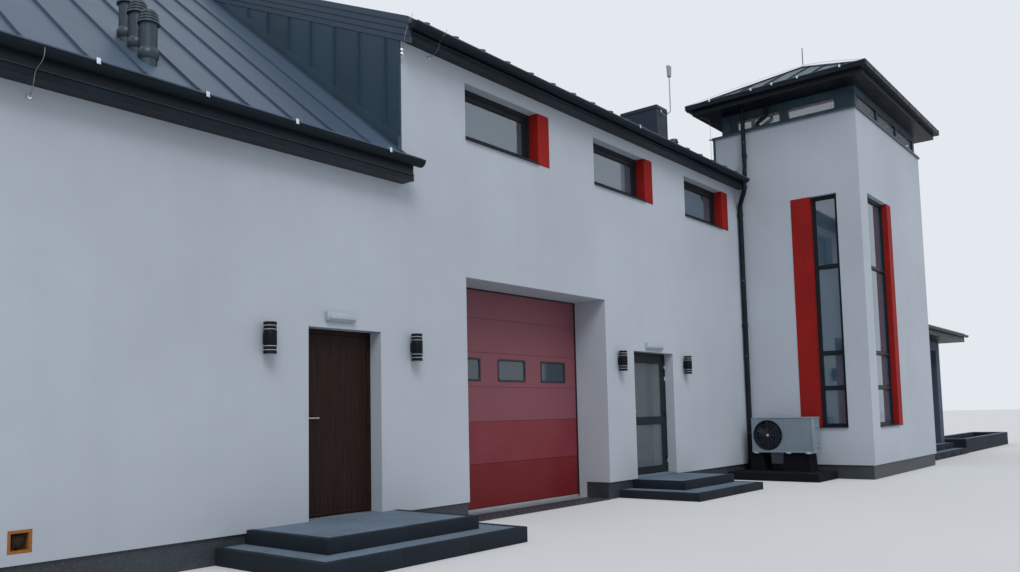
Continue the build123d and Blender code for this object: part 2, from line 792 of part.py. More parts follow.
def make_door_handle(left, width, head, plane):
    """A lever on a plate near the leaf's free edge."""
    x0 = door_leaf_limits(left, width, head)[0] + 30
    plate = block(x0, x0 + plate_width, plane - plate_thickness, plane,
                  handle_level - plate_height * 0.65, handle_level + plate_height * 0.35)
    x = x0 + plate_width / 2
    neck = Pos(x, plane - handle_reach / 2, handle_level) * Rot(90, 0, 0) * Cylinder(handle_radius, handle_reach)
    lever = Pos(x + handle_length / 2, plane - handle_reach, handle_level) * Rot(0, 90, 0) * Cylinder(
        handle_radius, handle_length + 2 * handle_radius)
    return plate + neck + lever


def make_office_door_leaf():
    place = (office_door_left, office_door_width, office_door_head, door_plane)
    x0, x1, z0, z1 = door_leaf_limits(*place[:3])
    leaf = block(x0, x1, door_plane, door_plane + leaf_thickness, z0, z1)
    return leaf + hinge_halves(*place)[1]


def make_side_door_leaf():
    place = (side_door_left, side_door_width, side_door_head, side_door_plane)
    x0, x1, z0, z1 = door_leaf_limits(*place[:3])
    y0, y1 = side_door_plane, side_door_plane + leaf_thickness
    leaf = block(x0, x1, y0, y1, z0, z1)
    half = leaf_rail / 2
    leaf -= block(x0 + leaf_rail, x1 - leaf_rail, y0 - 1, y1 + 1, z0 + leaf_rail, mid_rail_level - half)
    leaf -= block(x0 + leaf_rail, x1 - leaf_rail, y0 - 1, y1 + 1, mid_rail_level + half, z1 - leaf_rail)
    return leaf + hinge_halves(*place)[1]


def make_side_door_glass():
    x0, x1, z0, z1 = door_leaf_limits(side_door_left, side_door_width, side_door_head)
    y0 = side_door_plane + (leaf_thickness - glass_thickness) / 2
    half = leaf_rail / 2
    lower = block(x0 + leaf_rail, x1 - leaf_rail, y0, y0 + glass_thickness, z0 + leaf_rail, mid_rail_level - half)
    upper = block(x0 + leaf_rail, x1 - leaf_rail, y0, y0 + glass_thickness, mid_rail_level + half, z1 - leaf_rail)
    return Compound(children=[lower, upper])


def make_entrance_door():
    """The closed double door behind the porch, out of sight in the corner."""
    x0, x1 = entrance_left, entrance_left + entrance_width
    y0, y1 = side_door_plane, side_door_plane + door_frame_depth
    middle = (x0 + x1) / 2
    door = block(x0, x1, y0, y1, floor_level, entrance_head)
    for low, high in ((x0, middle), (middle, x1)):
        door -= block(low + leaf_rail, high - leaf_rail, y0 - 1, y0 + 25, floor_level + leaf_rail,
                      entrance_head - leaf_rail)
    return door


def around_door(left, width, margins):
    """Left, right, front and height of a step that reaches past a door by its margins."""
    before, after, front, height = margins
    return left - before, left + width + after, front, height


def make_steps(platform, step):
    """A platform on one wider step, both built up against the base course."""
    left, right, front, height = platform
    body = block(left, right, -front, 0, 0, height)
    body += block(left, right, 0, plinth_setback, 0, min(height, plinth_height))
    left, right, front, height = step
    return body + block(left, right, -front, plinth_setback, 0, height)


def make_porch_steps():
    platform = (tower_right, porch_steps_right, porch_platform_front, platform_height)
    step = (tower_right, porch_steps_right, porch_step_front, step_height)
    body = make_steps(platform, step)
    return body + block(tower_right - plinth_setback, tower_right, -porch_platform_front, plinth_setback, 0,
                        plinth_height)


def make_planter():
    x0, x1 = porch_steps_right, planter_right
    bed = block(x0, x1, -planter_front, -planter_back, 0, planter_height)
    w = planter_wall
    return bed - block(x0 + w, x1 - w, w - planter_front, -planter_back - w, planter_height / 2,
                       planter_height + 1)


def make_porch_roof():
    """A lean-to with a hipped end, from the tower to past the pillar."""
    x0, x1 = tower_right, porch_right
    eave = porch_soffit + porch_fascia
    outline = [(-porch_front, porch_soffit), (0, porch_soffit), (0, eave + porch_rise * porch_front),
               (-porch_front, eave)]
    body = along_x(outline, x0, x1)
    hip = [(x1, eave), (x1, eave + 2 * porch_front), (x0, eave + 2 * porch_front),
           (x0, eave + porch_rise * (x1 - x0))]
    face = make_face(Polyline(*[(x, -porch_front, z) for x, z in hip], close=True))
    return body - extrude(face, porch_front, dir=(0, 1, 0))


def make_porch_pillar():
    """The pillar and the beams that it carries to the tower and to the wall."""
    x0, x1 = pillar_right - pillar_width, pillar_right
    y0, y1 = -pillar_front, pillar_depth - pillar_front
    beam_bottom = porch_soffit - beam_depth
    pillar = block(x0, x1, y0, y1, platform_height, porch_soffit)
    to_tower = block(tower_right, x1, y0, y1, beam_bottom, porch_soffit)
    to_wall = block(x0, x1, y0, 0, beam_bottom, porch_soffit)
    return pillar + to_tower + to_wall


def make_wall_lights():
    lights = []
    office_right = office_door_left + office_door_width
    side_right = side_door_left + side_door_width
    for x in (office_door_left - office_lamp_gaps[0], office_right + office_lamp_gaps[1],
              side_door_left - side_lamp_gaps[0], side_right + side_lamp_gaps[1]):
        y = -lamp_gap - lamp_radius
        body = upright(x, y, lamp_bottom, lamp_bottom + lamp_height, lamp_radius)
        for z in (lamp_bottom + lamp_ring, lamp_bottom + lamp_height - 2 * lamp_ring):
            body -= upright(x, y, z, z + lamp_ring, lamp_radius + 1) - upright(x, y, z, z + lamp_ring,
                                                                               lamp_radius - 4)
        body += block(x - lamp_foot / 2, x + lamp_foot / 2, y, 0, lamp_bottom + lamp_height / 3,
                      lamp_bottom + lamp_height * 2 / 3)
        lights.append(body)
    for door_left, (start, width) in ((office_door_left, office_emergency_light),
                                      (side_door_left, side_emergency_light)):
        x = door_left + start
        box = block(x, x + width, -emergency_depth, 0, emergency_bottom, emergency_bottom + emergency_height)
        lights.append(chamfer(box.edges().filter_by(Axis.X).group_by(Axis.Y)[0], emergency_height / 4))
    return Compound(children=lights)


def pump_limits():
    y1 = -pump_corner_gap
    return pump_front, pump_front + pump_depth, y1 - pump_width, y1, pump_bottom, pump_bottom + pump_height


def fan_centre():
    x0, x1, y0, y1, z0, z1 = pump_limits()
    return x0 + pump_shell + fan_depth / 2 + 3 * fan_clearance / 2, y1 - fan_offset, fan_level


def make_pump_case():
    """The sheet housing, open in front of the fan behind a wire guard."""
    x0, x1, y0, y1, z0, z1 = pump_limits()
    x, y, z = fan_centre()
    case = block(x0, x1, y0, y1, z0, z1)
    well = fan_radius + fan_clearance
    well_depth = pump_shell + 2 * fan_clearance + fan_depth + fan_clearance
    case -= Pos(x0 + well_depth / 2 - 1, y, z) * Rot(0, 90, 0) * Cylinder(well, well_depth + 2)
    bar = guard_bar
    guard = []
    for i in range(guard_rings):
        r = well - i * well / guard_rings
        guard.append(Pos(x0 + bar / 2, y, z) * Rot(0, 90, 0) * (Cylinder(r + bar / 2, bar) - Cylinder(r - bar / 2, bar)))
    for i in range(guard_spokes // 2):
        spoke = Box(bar, 2 * well + bar, bar)
        guard.append(Pos(x0 + bar / 2, y, z) * Rot(i * 360 / guard_spokes, 0, 0) * spoke)
    return case + guard


def make_pump_fan():
    """Three swept blades on a hub."""
    x, y, z = fan_centre()
    hub = Cylinder(fan_hub_radius, fan_depth)
    blades = []
    for i in range(fan_blades):
        blade = Pos(fan_radius / 2, 0, 0) * Rot(blade_pitch, 0, 0) * Box(
            fan_radius, blade_width, blade_thickness)
        blades.append(Rot(0, 0, i * 360 / fan_blades) * blade)
    rotor = hub + blades
    return Pos(x, y, z) * Rot(0, 90, 0) * rotor


def make_pump_stand():
    """Two dark blocks on a kerbed slab in the corner."""
    x0, x1, y0, y1, z0, z1 = pump_limits()
    top = pump_slab_height
    slab = block(tower_left - pump_slab_reach, tower_left, -pump_slab_front, 0, 0, top)
    slab += block(tower_left - pump_slab_reach, tower_left + plinth_setback, -pump_slab_front, plinth_setback,
                  0, top)
    front = tower_left - block_reach
    blocks = [along_x([(-gap - width, top), (-gap, top), (-gap - block_taper, z0), (block_taper - gap - width, z0)],
                      front, front + block_depth) for gap, width in block_places]
    return slab + blocks


def make_vent_pipes():
    pipes = []
    for y in vent_rows:
        foot = end_top(y)
        profile_top = foot + vent_height
        pipe = upright(vent_x, y, foot - 200, profile_top - vent_cap_height, vent_radius)
        ball = Pos(vent_x, y, foot + vent_ball_lift) * Sphere(vent_ball_radius)
        rib = vent_cap_height / vent_ribs
        cap = [Pos(vent_x, y, profile_top - vent_cap_height + (i + 0.5) * rib) * Cone(
            vent_cap_radius - i * vent_rib_step, vent_cap_radius - (i + 2) * vent_rib_step, rib)
            for i in range(vent_ribs)]
        pipes.append((pipe + ball + cap) - front_roof_left - under_end_roof)
    x, foot = tower_left + stub_start, middle_top(stub_y)
    top = foot + stub_height
    stub = upright(x, stub_y, foot - middle_build / 2, top - stub_cap_height, stub_radius)
    cap = Pos(x, stub_y, top - stub_cap_height / 2) * Cone(stub_radius + 20, stub_radius, stub_cap_height)
    pipes.append((stub + cap) - front_roof_middle)
    return Compound(children=pipes)


def make_chimney():
    x0, x1 = chimney_left, chimney_left + chimney_width
    y0, y1 = chimney_front, chimney_front + chimney_length
    shaft = along_x([(y0, middle_top(y0)), (y1, middle_top(y1)), (y1, chimney_top), (y0, chimney_top)], x0, x1)
    r = chimney_cap_reach
    cap = block(x0 - r, x1 + r, y0 - r, y1 + r, chimney_top, chimney_top + chimney_cap_thickness)
    return (shaft + cap) - front_roof_middle


def make_aerial():
    """A small flat head on a mast, bracketed to the chimney's front corner by a bent arm."""
    x = chimney_left + chimney_width + chimney_cap_reach
    y = chimney_front + aerial_inset
    low = chimney_top - aerial_drop
    head_top = chimney_top + aerial_drop + aerial_height + aerial_head_length
    bottom = head_top - aerial_head_length
    path = FilletPolyline((x - chimney_cap_reach, y, low), (x + aerial_arm, y, low + aerial_rise),
                          (x + aerial_arm, y, bottom), radius=6 * aerial_radius)
    rod = sweep(Plane(origin=path @ 0, z_dir=path % 0) * Circle(aerial_radius), path=path)
    w, d = aerial_head_width, aerial_head_depth
    outline = [(x + aerial_arm - w / 3, bottom), (x + aerial_arm + w / 3, bottom),
               (x + aerial_arm + w / 2, head_top), (x + aerial_arm - w / 2, head_top)]
    face = make_face(Polyline(*[(px, y - d / 2, pz) for px, pz in outline], close=True))
    head = extrude(face, d, dir=(0, 1, 0))
    head = fillet(head.edges().filter_by(Axis.Y), d / 3)
    head = fillet(head.edges(), d / 8)
    return (rod - chimney) + head


def make_wall_socket():
    """The open box for a missing wall fitting."""
    s, b = socket_size, socket_bottom
    box = block(socket_left, socket_left + s, 0, socket_depth, b, b + s)
    r = socket_rim
    return box - block(socket_left + r, socket_left + s - r, -1, socket_depth - 10, b + r, b + s - r)


def make_verges():
    front_end = make_verge(0, -1, end_eave, end_build, roof_rise, -eave_reach)
    front_middle = make_verge(middle_left, -1, middle_eave, middle_build, middle_rise, -eave_reach)
    hidden = along_x([(-eave_reach, 0), (ridge_y, 0), (ridge_y, end_top(ridge_y) + seam_height),
                      (-eave_reach, end_top(-eave_reach) + seam_height)], 0, middle_left)
    front_middle = front_middle - hidden - ridge_cap
    left = [front_end, front_middle, to_rear(front_end), to_rear(front_middle)]
    right = [to_right(piece) for piece in left]
    right[1] -= block(tower_left, tower_right + 2 * verge_reach, -tower_reach, tower_back, 0, tower_height)
    return Compound(children=[fuse([left[0], left[2]]), fuse([left[1], left[3]]),
                              fuse([right[0], right[2]]), fuse([right[1], right[3]])])


def make_ridge_cap():
    """Bent sheet over the ridge, resting on the seams."""
    r, t = ridge_cap_reach, ridge_cap_thickness
    caps = []
    for x0, x1, rise in ((-verge_reach, middle_left, roof_rise), (middle_left, middle_right, middle_rise),
                         (middle_right, length + verge_reach, roof_rise)):
        base = ridge_height + seam_height
        outline = [(ridge_y - r, base - rise * r), (ridge_y, base), (ridge_y + r, base - rise * r),
                   (ridge_y + r, base - rise * r + t), (ridge_y, base + t), (ridge_y - r, base - rise * r + t)]
        caps.append(along_x(outline, x0, x1))
    return fuse(caps)


def make_swan_neck(outlet, x, wall_y, eave, rim, bottom):
    """A pipe from a gutter's outlet, back to the wall in two bends and down."""
    neck_y = -eave_reach - gutter_radius
    bend = 120
    path = FilletPolyline((outlet, neck_y, rim - gutter_radius), (outlet, neck_y, eave - bend),
                          (x, wall_y, eave - 3 * bend), (x, wall_y, bottom), radius=bend)
    tube = sweep(Plane(origin=path @ 0, z_dir=path % 0) * Circle(pipe_radius), path=path)
    collars = [upright(x, wall_y, z, z + pipe_collar, pipe_radius + pipe_collar / 8)
               for z in (eave - 5 * bend, (eave + bottom) / 2, bottom + shoe_height)]
    brackets = [block(x - pipe_collar / 2, x + pipe_collar / 2, wall_y, 0, z, z + pipe_collar / 2)
                for z in (eave - 5 * bend, (eave + bottom) / 2, bottom + shoe_height)]
    return tube + collars + brackets


def make_side_pipe():
    """The tower gutter's pipe: down the side wall, with a shoe over the gutter of the raised storey."""
    x = tower_left - coping_reach - side_pipe_radius - pipe_wall_gap
    outlet = tower_left - corner_gutter_gap - corner_outlet_gap / 2
    neck_y = -eave_reach - gutter_radius
    path = FilletPolyline((x, -side_pipe_front, lantern_top), (x, -side_pipe_front, middle_rim + 330),
                          (outlet, neck_y, middle_rim + 180), (outlet, neck_y, middle_rim + 30), radius=60)
    tube = sweep(Plane(origin=path @ 0, z_dir=path % 0) * Circle(side_pipe_radius), path=path)
    z = (tower_height + middle_rim) / 2
    half = pipe_collar / 2
    bracket = block(x, tower_left, -side_pipe_front - half, half - side_pipe_front, z, z + half)
    return tube + upright(x, -side_pipe_front, z, z + pipe_collar, side_pipe_radius + pipe_collar / 8) + bracket


def make_lantern_elbow():
    """A bent pipe from the tower's soffit to the coping, in front of the lantern."""
    x = tower_left + elbow_setback
    middle = lantern_base + lantern_height / 2
    path = FilletPolyline((x, -elbow_front, lantern_top), (x, -elbow_front, middle),
                          (x, -elbow_back, middle - 2.5 * elbow_radius), (x, -elbow_back, lantern_base),
                          radius=1.4 * elbow_radius)
    return sweep(Plane(origin=path @ 0, z_dir=path % 0) * Circle(elbow_radius), path=path)


def make_downpipes():
    """Pipes in the corner beside the tower, on the tower's side and at the rear corners."""
    gap = pipe_radius + pipe_wall_gap
    outlet = tower_left - corner_gutter_gap - corner_outlet_gap
    corner = make_swan_neck(outlet, tower_left - corner_pipe_gap, -gap, middle_eave, middle_rim, pump_slab_height)
    rear = to_rear(make_swan_neck(2 * gap, 2 * gap, -gap, end_eave, end_rim, plinth_height))
    return Compound(children=[corner, make_side_pipe(), make_lantern_elbow(), rear, to_right(rear)])


upper_floor = make_upper_floor()
under_end_roof = along_x([(-eave_reach, 0), (ridge_y, 0), (ridge_y, end_top(ridge_y)),
                          (-eave_reach, end_top(-eave_reach))], 0, middle_left)
front_roof_left = make_front_roof_left()
front_roof_middle = make_front_roof_middle()
cheek_wall = make_cheek_wall()
cheek_cladding = make_cheek_cladding() - front_roof_left
ridge_cap = make_ridge_cap()
window_frames, window_panes, window_sills, red_bands = all_windows()
lantern_frame, lantern_glass = make_lantern()
chimney = make_chimney()
office_door = (office_door_left, office_door_width, office_door_head, door_plane)
side_door = (side_door_left, side_door_width, side_door_head, side_door_plane)
right_cheek = to_right(cheek_wall) - block(tower_left, tower_right, -tower_reach, tower_back, 0, tower_height)
right_cladding = to_right(cheek_cladding)
front_right_cladding = right_cladding - block(tower_left, middle_right + cheek_seam_pitch, -tower_reach,
                                              tower_back, 0, tower_height)

parts = {
    "plinth": make_plinth(),
    "ground_floor": make_ground_floor(),
    "upper_floor": upper_floor,
    "front_wall_left": make_front_wall_left(),
    "front_wall_garage": make_front_wall_garage(),
    "front_wall_right": front_piece(side_door_left + side_door_width, tower_left),
    "front_wall_far": make_front_wall_far(),
    "door_lintels": make_door_lintels(),
    "front_wall_upper": make_front_wall_upper(),
    "rear_wall_lower": make_rear_wall_lower(),
    "rear_wall_upper": make_rear_wall_upper(),
    "left_gable_wall": make_left_gable_wall(),
    "right_gable_wall": to_right(make_left_gable_wall()),
    "tower_front_wall": make_tower_front_wall(),
    "tower_side_walls": make_tower_side_walls(),
    "tower_back_wall": make_tower_back_wall(),
    "cheek_walls": Compound(children=[cheek_wall, right_cheek, to_rear(cheek_wall),
                                      to_rear(to_right(cheek_wall))]),
    "cheek_cladding": Compound(children=[cheek_cladding, front_right_cladding, to_rear(cheek_cladding),
                                         to_rear(right_cladding)]),
    "front_roof_left": front_roof_left,
    "front_roof_middle": front_roof_middle,
    "front_roof_right": to_right(front_roof_left),
    "rear_roof_left": to_rear(front_roof_left),
    "rear_roof_middle": make_rear_roof_middle(),
    "rear_roof_right": to_rear(to_right(front_roof_left)),
    "roof_verges": make_verges(),
    "ridge_cap": ridge_cap,
    "gutters": make_gutters(),
    "downpipes": make_downpipes(),
    "tower_lantern": make_lantern_frame(),
    "tower_roof": make_tower_roof(),
    "window_frames": Compound(children=window_frames),
    "window_glass": Compound(children=window_panes + [lantern_glass]),
    "window_sills": Compound(children=window_sills),
    "red_bands": Compound(children=red_bands),
    "garage_frame": make_garage_frame(),
    "garage_door": make_garage_door(),
    "garage_door_lights": make_garage_door_lights(),
    "office_door_frame": make_door_frame(*office_door),
    "office_door_leaf": make_office_door_leaf(),
    "office_door_handle": make_door_handle(*office_door),
    "side_door_frame": make_door_frame(*side_door),
    "side_door_leaf": make_side_door_leaf(),
    "side_door_glass": make_side_door_glass(),
    "side_door_handle": make_door_handle(*side_door),
    "entrance_door": make_entrance_door(),
    "office_steps": make_steps(around_door(office_door_left, office_door_width, office_platform),
                               around_door(office_door_left, office_door_width, office_step)),
    "side_steps": make_steps(around_door(side_door_left, side_door_width, side_platform),
                             around_door(side_door_left, side_door_width, side_step)),
    "porch_steps": make_porch_steps(),
    "planter": make_planter(),
    "porch_roof": make_porch_roof(),
    "porch_pillar": make_porch_pillar(),
    "wall_lights": make_wall_lights(),
    "heat_pump_case": make_pump_case(),
    "heat_pump_fan": make_pump_fan(),
    "heat_pump_stand": make_pump_stand(),
    "vent_pipes": make_vent_pipes(),
    "chimney": chimney,
    "aerial": make_aerial(),
    "wall_socket": make_wall_socket(),
}

# The origin lies on the ground in the middle of everything that stands there
corners = [solid.bounding_box() for solid in parts.values()]
middle_x = (min(box.min.X for box in corners) + max(box.max.X for box in corners)) / 2
middle_y = (min(box.min.Y for box in corners) + max(box.max.Y for box in corners)) / 2
to_origin = Location((-middle_x, -middle_y, 0))
print("origin lies at", round(middle_x, 3), round(middle_y, 3))

os.makedirs("parts", exist_ok=True)
for name, solid in parts.items():
    export_step(to_origin * solid, f"parts/{name}.step")
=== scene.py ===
"""Fire station: finishes, fittings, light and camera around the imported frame."""
import json
import math

import bpy
from bpy.props import FloatProperty, FloatVectorProperty, PointerProperty
from mathutils import Matrix, Vector

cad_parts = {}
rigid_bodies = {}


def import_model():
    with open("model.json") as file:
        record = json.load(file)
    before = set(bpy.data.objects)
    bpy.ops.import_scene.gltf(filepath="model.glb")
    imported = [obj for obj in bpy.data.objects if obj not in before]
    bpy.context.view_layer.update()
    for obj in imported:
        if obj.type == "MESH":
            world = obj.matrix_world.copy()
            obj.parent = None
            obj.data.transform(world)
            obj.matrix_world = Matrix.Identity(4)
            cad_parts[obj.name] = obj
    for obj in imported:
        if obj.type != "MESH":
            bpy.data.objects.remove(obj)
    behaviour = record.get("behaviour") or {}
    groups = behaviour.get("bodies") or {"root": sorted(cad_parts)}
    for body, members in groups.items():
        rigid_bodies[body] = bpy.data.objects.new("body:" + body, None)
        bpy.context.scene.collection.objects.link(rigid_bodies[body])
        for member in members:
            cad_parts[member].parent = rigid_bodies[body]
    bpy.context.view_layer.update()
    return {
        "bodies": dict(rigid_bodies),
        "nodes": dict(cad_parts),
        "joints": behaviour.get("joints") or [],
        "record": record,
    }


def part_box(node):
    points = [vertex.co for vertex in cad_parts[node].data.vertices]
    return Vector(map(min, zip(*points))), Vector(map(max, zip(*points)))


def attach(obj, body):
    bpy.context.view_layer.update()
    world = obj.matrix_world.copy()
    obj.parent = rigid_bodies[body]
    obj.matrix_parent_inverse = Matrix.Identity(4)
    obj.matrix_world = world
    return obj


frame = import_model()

bl_info = {
    "name": "Fire Station Dressing",
    "version": (1, 0, 0),
    "blender": (4, 5, 0),
    "location": "View3D > Sidebar > Station",
    "description": "Finishes and fittings for a hollow fire station with a stair tower",
    "category": "Object",
}

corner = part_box("left_gable_wall")[0]

# Lines of the solids that several pieces or finishes keep to, in metres: along the front from its left end,
# into the building from the front, and up
house_depth, house_wall = 10.4, 0.45
storey_left, tower_left, tower_right = 8.0, 17.92, 22.651
tower_front = -2.511
low_eave, high_eave = 4.255, 6.089
low_rim, high_rim = 4.498, 6.228
gutter_face = -0.362
low_sheet, high_sheet = 4.695, 6.419
low_rise, high_rise = 0.787, (8.787 - 0.33 - high_eave) / (house_depth / 2)
first_seam, seam_pitch = 0.3, 0.54
low_sill, high_sill = 1.6, 5.108
window_width, window_height, window_plane = 1.625, 0.788, 0.161
lantern_foot, lantern_head = 7.342, 7.80
fan_height, fan_from_back, guard_radius = 0.863, 0.334, 0.2965
# The tower's gutter: left, right, front and rear edge, and rim
tower_rim = (17.40, 23.171, -2.901, 0.905, 8.012)
door_frame = 0.06
# Left side, width and leaf's plane of each doorway
doorways = {"office_door": (6.577, 1.05, 0.188), "side_door": (13.378, 1.362, 0.169),
            "entrance_door": (24.468, 1.9, 0.169)}


def at(x, y, z):
    """A place measured from the foot of the front's left corner: along it, into the building, up."""
    return Vector((corner.x + x, corner.y + y, z))


def fan_axis():
    """The middle of the heat pump's fan."""
    low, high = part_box("heat_pump_fan")
    return Vector(((low.x + high.x) / 2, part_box("heat_pump_case")[1].y - fan_from_back, fan_height))


def linear(code):
    """An sRGB hex colour as the linear values that shaders take."""
    parts = [int(code[i:i + 2], 16) / 255 for i in (1, 3, 5)]
    return tuple(p / 12.92 if p <= 0.04045 else ((p + 0.055) / 1.055) ** 2.4 for p in parts)


def paint(name, description, code):
    return FloatVectorProperty(name=name, description=description, subtype="COLOR", size=3, min=0, max=1,
                               default=linear(code))


def measure(name, description, metres):
    return FloatProperty(name=name, description=description, subtype="DISTANCE", unit="LENGTH", min=0.0005,
                         default=metres)


class StationColours(bpy.types.PropertyGroup):
    render: paint("Render", "White thin-coat render of the walls", "#acb4be")
    base: paint("Base course", "Dark stone-chip plaster along the foot of the walls", "#2a3036")
    concrete: paint("Concrete", "Floors and the ledge of the vehicle door", "#80848a")
    roof: paint("Roof sheet", "Seamed coated steel on the slopes", "#435467")
    cheek: paint("Cheek sheet", "Seamed sheet on the sides of the raised storey", "#2e4353")
    verge: paint("Verge sheet", "Stepped sheet up the verges", "#364759")
    chimney: paint("Chimney sheet", "Dark blue sheet round the chimney", "#172838")
    trim: paint("Trim sheet", "Eaves, gutters and pipes", "#161e25")
    tower_sheet: paint("Tower sheet", "The tower's roof, lantern and coping", "#34454f")
    clip: paint("Zinc clips", "Gutter clips and conductor holders", "#dfe6ee")
    red: paint("Facade red", "Painted strips beside the windows", "#8a120e")
    profile: paint("Window profile", "Foiled window frames", "#1c2126")
    # The glass tint is partly the panes' own and partly a painted reflection of the sky
    glass: paint("Glass", "Tint of the insulating glass", "#7f9fb8")
    # The door has one red; the paler fifth and upper panels are a painted reflection of the sky on its satin
    # coat
    door_sky_reflecting_red: paint("Vehicle door, faded", "The four upper panels", "#77454f")
    door_half_reflecting_red: paint("Vehicle door, fifth panel", "The fifth panel from the top", "#742b34")
    door_deep: paint("Vehicle door, foot", "The lowest panel", "#69161a")
    brown: paint("Office door", "Wood-grain foil", "#241813")
    door_grey: paint("Side door", "Powder-coated aluminium", "#151f24")
    slab: paint("Step slabs", "Rough grey treads", "#5f6f7f")
    kerb: paint("Kerbs", "Dark kerb stones round the steps", "#161e28")
    housing: paint("Emergency lights", "White plastic housings over the house doors", "#aab4bb")
    pump: paint("Heat pump", "Grey-white coated sheet", "#75848f")
    # The pillar's blue-grey, much darker than the walls, is partly its own colour and partly the porch's
    # shade painted in
    pillar: paint("Pillar paint", "Blue-grey paint of the porch pillar", "#424e5e")
    vent: paint("Vents", "Dark blue-grey vent pipes", "#2b3a44")
    foam: paint("Foam", "Aged foam round the open socket", "#8a5a28")
    floor: paint("Floor", "The studio floor", "#d6d8da")


class StationSizes(bpy.types.PropertyGroup):
    kerb_width: measure("Kerb width", "Width of a kerb stone seen from above", 0.08)
    kerb_length: measure("Kerb length", "Length of a kerb stone", 1.0)
    kerb_joint: measure("Kerb joint", "Gap between two kerb stones", 0.001)
    kerb_proud: measure("Kerb stand-off", "How far a kerb stone stands out from the step", 0.004)
    bead: measure("Glazing bead", "Width of the bead round a pane", 0.018)
    gasket: measure("Gasket", "Width of the rubber line round a pane", 0.008)
    light_frame: measure("Door light frame", "Width of the frame round a light of the vehicle door", 0.028)
    ring_height: measure("Lamp ring", "Height of the bright rings on a wall lamp", 0.007)
    wire: measure("Conductor", "Radius of the lightning conductor", 0.0032)
    lip: measure("Gutter lip", "Radius of the rolled outer edge of a gutter", 0.009)
    clip_width: measure("Gutter clip", "Width of a zinc clip on a gutter's edge", 0.036)
    fold: measure("Seam fold", "Width of the folded top of a standing seam", 0.012)


def add(tree, kind, sockets=None, stops=None, **settings):
    """A node with its settings; a socket given as a value of another node is linked."""
    made = tree.nodes.new(kind)
    for name, value in settings.items():
        setattr(made, name, value)
    for name, value in (sockets or {}).items():
        if isinstance(value, bpy.types.NodeSocket):
            tree.links.new(value, made.inputs[name])
        else:
            made.inputs[name].default_value = value
    for i, (position, tone) in enumerate(stops or []):
        element = made.color_ramp.elements[i] if i < 2 else made.color_ramp.elements.new(position)
        element.position = position
        element.color = (*tone, 1)
    return made


def start_material(name, roughness, metallic=0.0):
    """A new material's tree and shader, and the place on the piece in metres."""
    material = bpy.data.materials.new(name)
    material.use_nodes = True
    tree = material.node_tree
    shader = tree.nodes["Principled BSDF"]
    shader.inputs["Roughness"].default_value = roughness
    shader.inputs["Metallic"].default_value = metallic
    place = add(tree, "ShaderNodeTexCoord").outputs["Object"]
    return tree, shader, place


def shade(tone, factor):
    """A colour made lighter or darker."""
    return tuple(min(1, c * factor) for c in tone)


def thin_coat_render(colours):
    # Floated silicate render: matte, with a fine even grain, clouded where it dried unevenly
    tree, shader, place = start_material("thin_coat_render", 0.92)
    clouds = add(tree, "ShaderNodeTexNoise", {"Vector": place, "Scale": 0.45, "Detail": 4, "Roughness": 0.6})
    tone = add(tree, "ShaderNodeValToRGB", {"Fac": clouds.outputs["Fac"]},
               [(0.35, shade(colours.render, 0.93)), (0.65, shade(colours.render, 1.03))])
    # Rain streaks run down the wall: the pattern is a fifth of a metre wide and metres long
    stretched = add(tree, "ShaderNodeMapping", {"Vector": place, "Scale": (5, 5, 0.22)})
    streaks = add(tree, "ShaderNodeTexNoise", {"Vector": stretched.outputs[0], "Scale": 1, "Detail": 3})
    weak = add(tree, "ShaderNodeMapRange", {"Value": streaks.outputs["Fac"], "From Min": 0.45,
                                            "From Max": 0.8, "To Min": 0.0, "To Max": 0.10})
    worn = add(tree, "ShaderNodeMix", {0: weak.outputs[0], 6: tone.outputs[0],
                                       7: (*shade(colours.render, 0.72), 1)}, data_type="RGBA")
    # Rain splashes dirt up to about half a metre over the plinth
    height = add(tree, "ShaderNodeSeparateXYZ", {"Vector": place})
    splash = add(tree, "ShaderNodeMapRange", {"Value": height.outputs["Z"], "From Min": 0.27, "From Max": 0.8,
                                              "To Min": 0.22, "To Max": 0.0})
    broken = add(tree, "ShaderNodeMath", {0: splash.outputs[0], 1: clouds.outputs["Fac"]},
                 operation="MULTIPLY")
    dirty = add(tree, "ShaderNodeMix", {0: broken.outputs[0], 6: worn.outputs[2],
                                        7: (*shade(colours.render, 0.45), 1)}, data_type="RGBA")
    tree.links.new(dirty.outputs[2], shader.inputs["Base Color"])
    # The real grain is 1.5 mm; it is drawn at about 20 mm so that it shows
    grain = add(tree, "ShaderNodeTexNoise", {"Vector": place, "Scale": 48, "Detail": 5, "Roughness": 0.7})
    bump = add(tree, "ShaderNodeBump", {"Height": grain.outputs["Fac"], "Strength": 0.28, "Distance": 0.004})
    tree.links.new(bump.outputs[0], shader.inputs["Normal"])


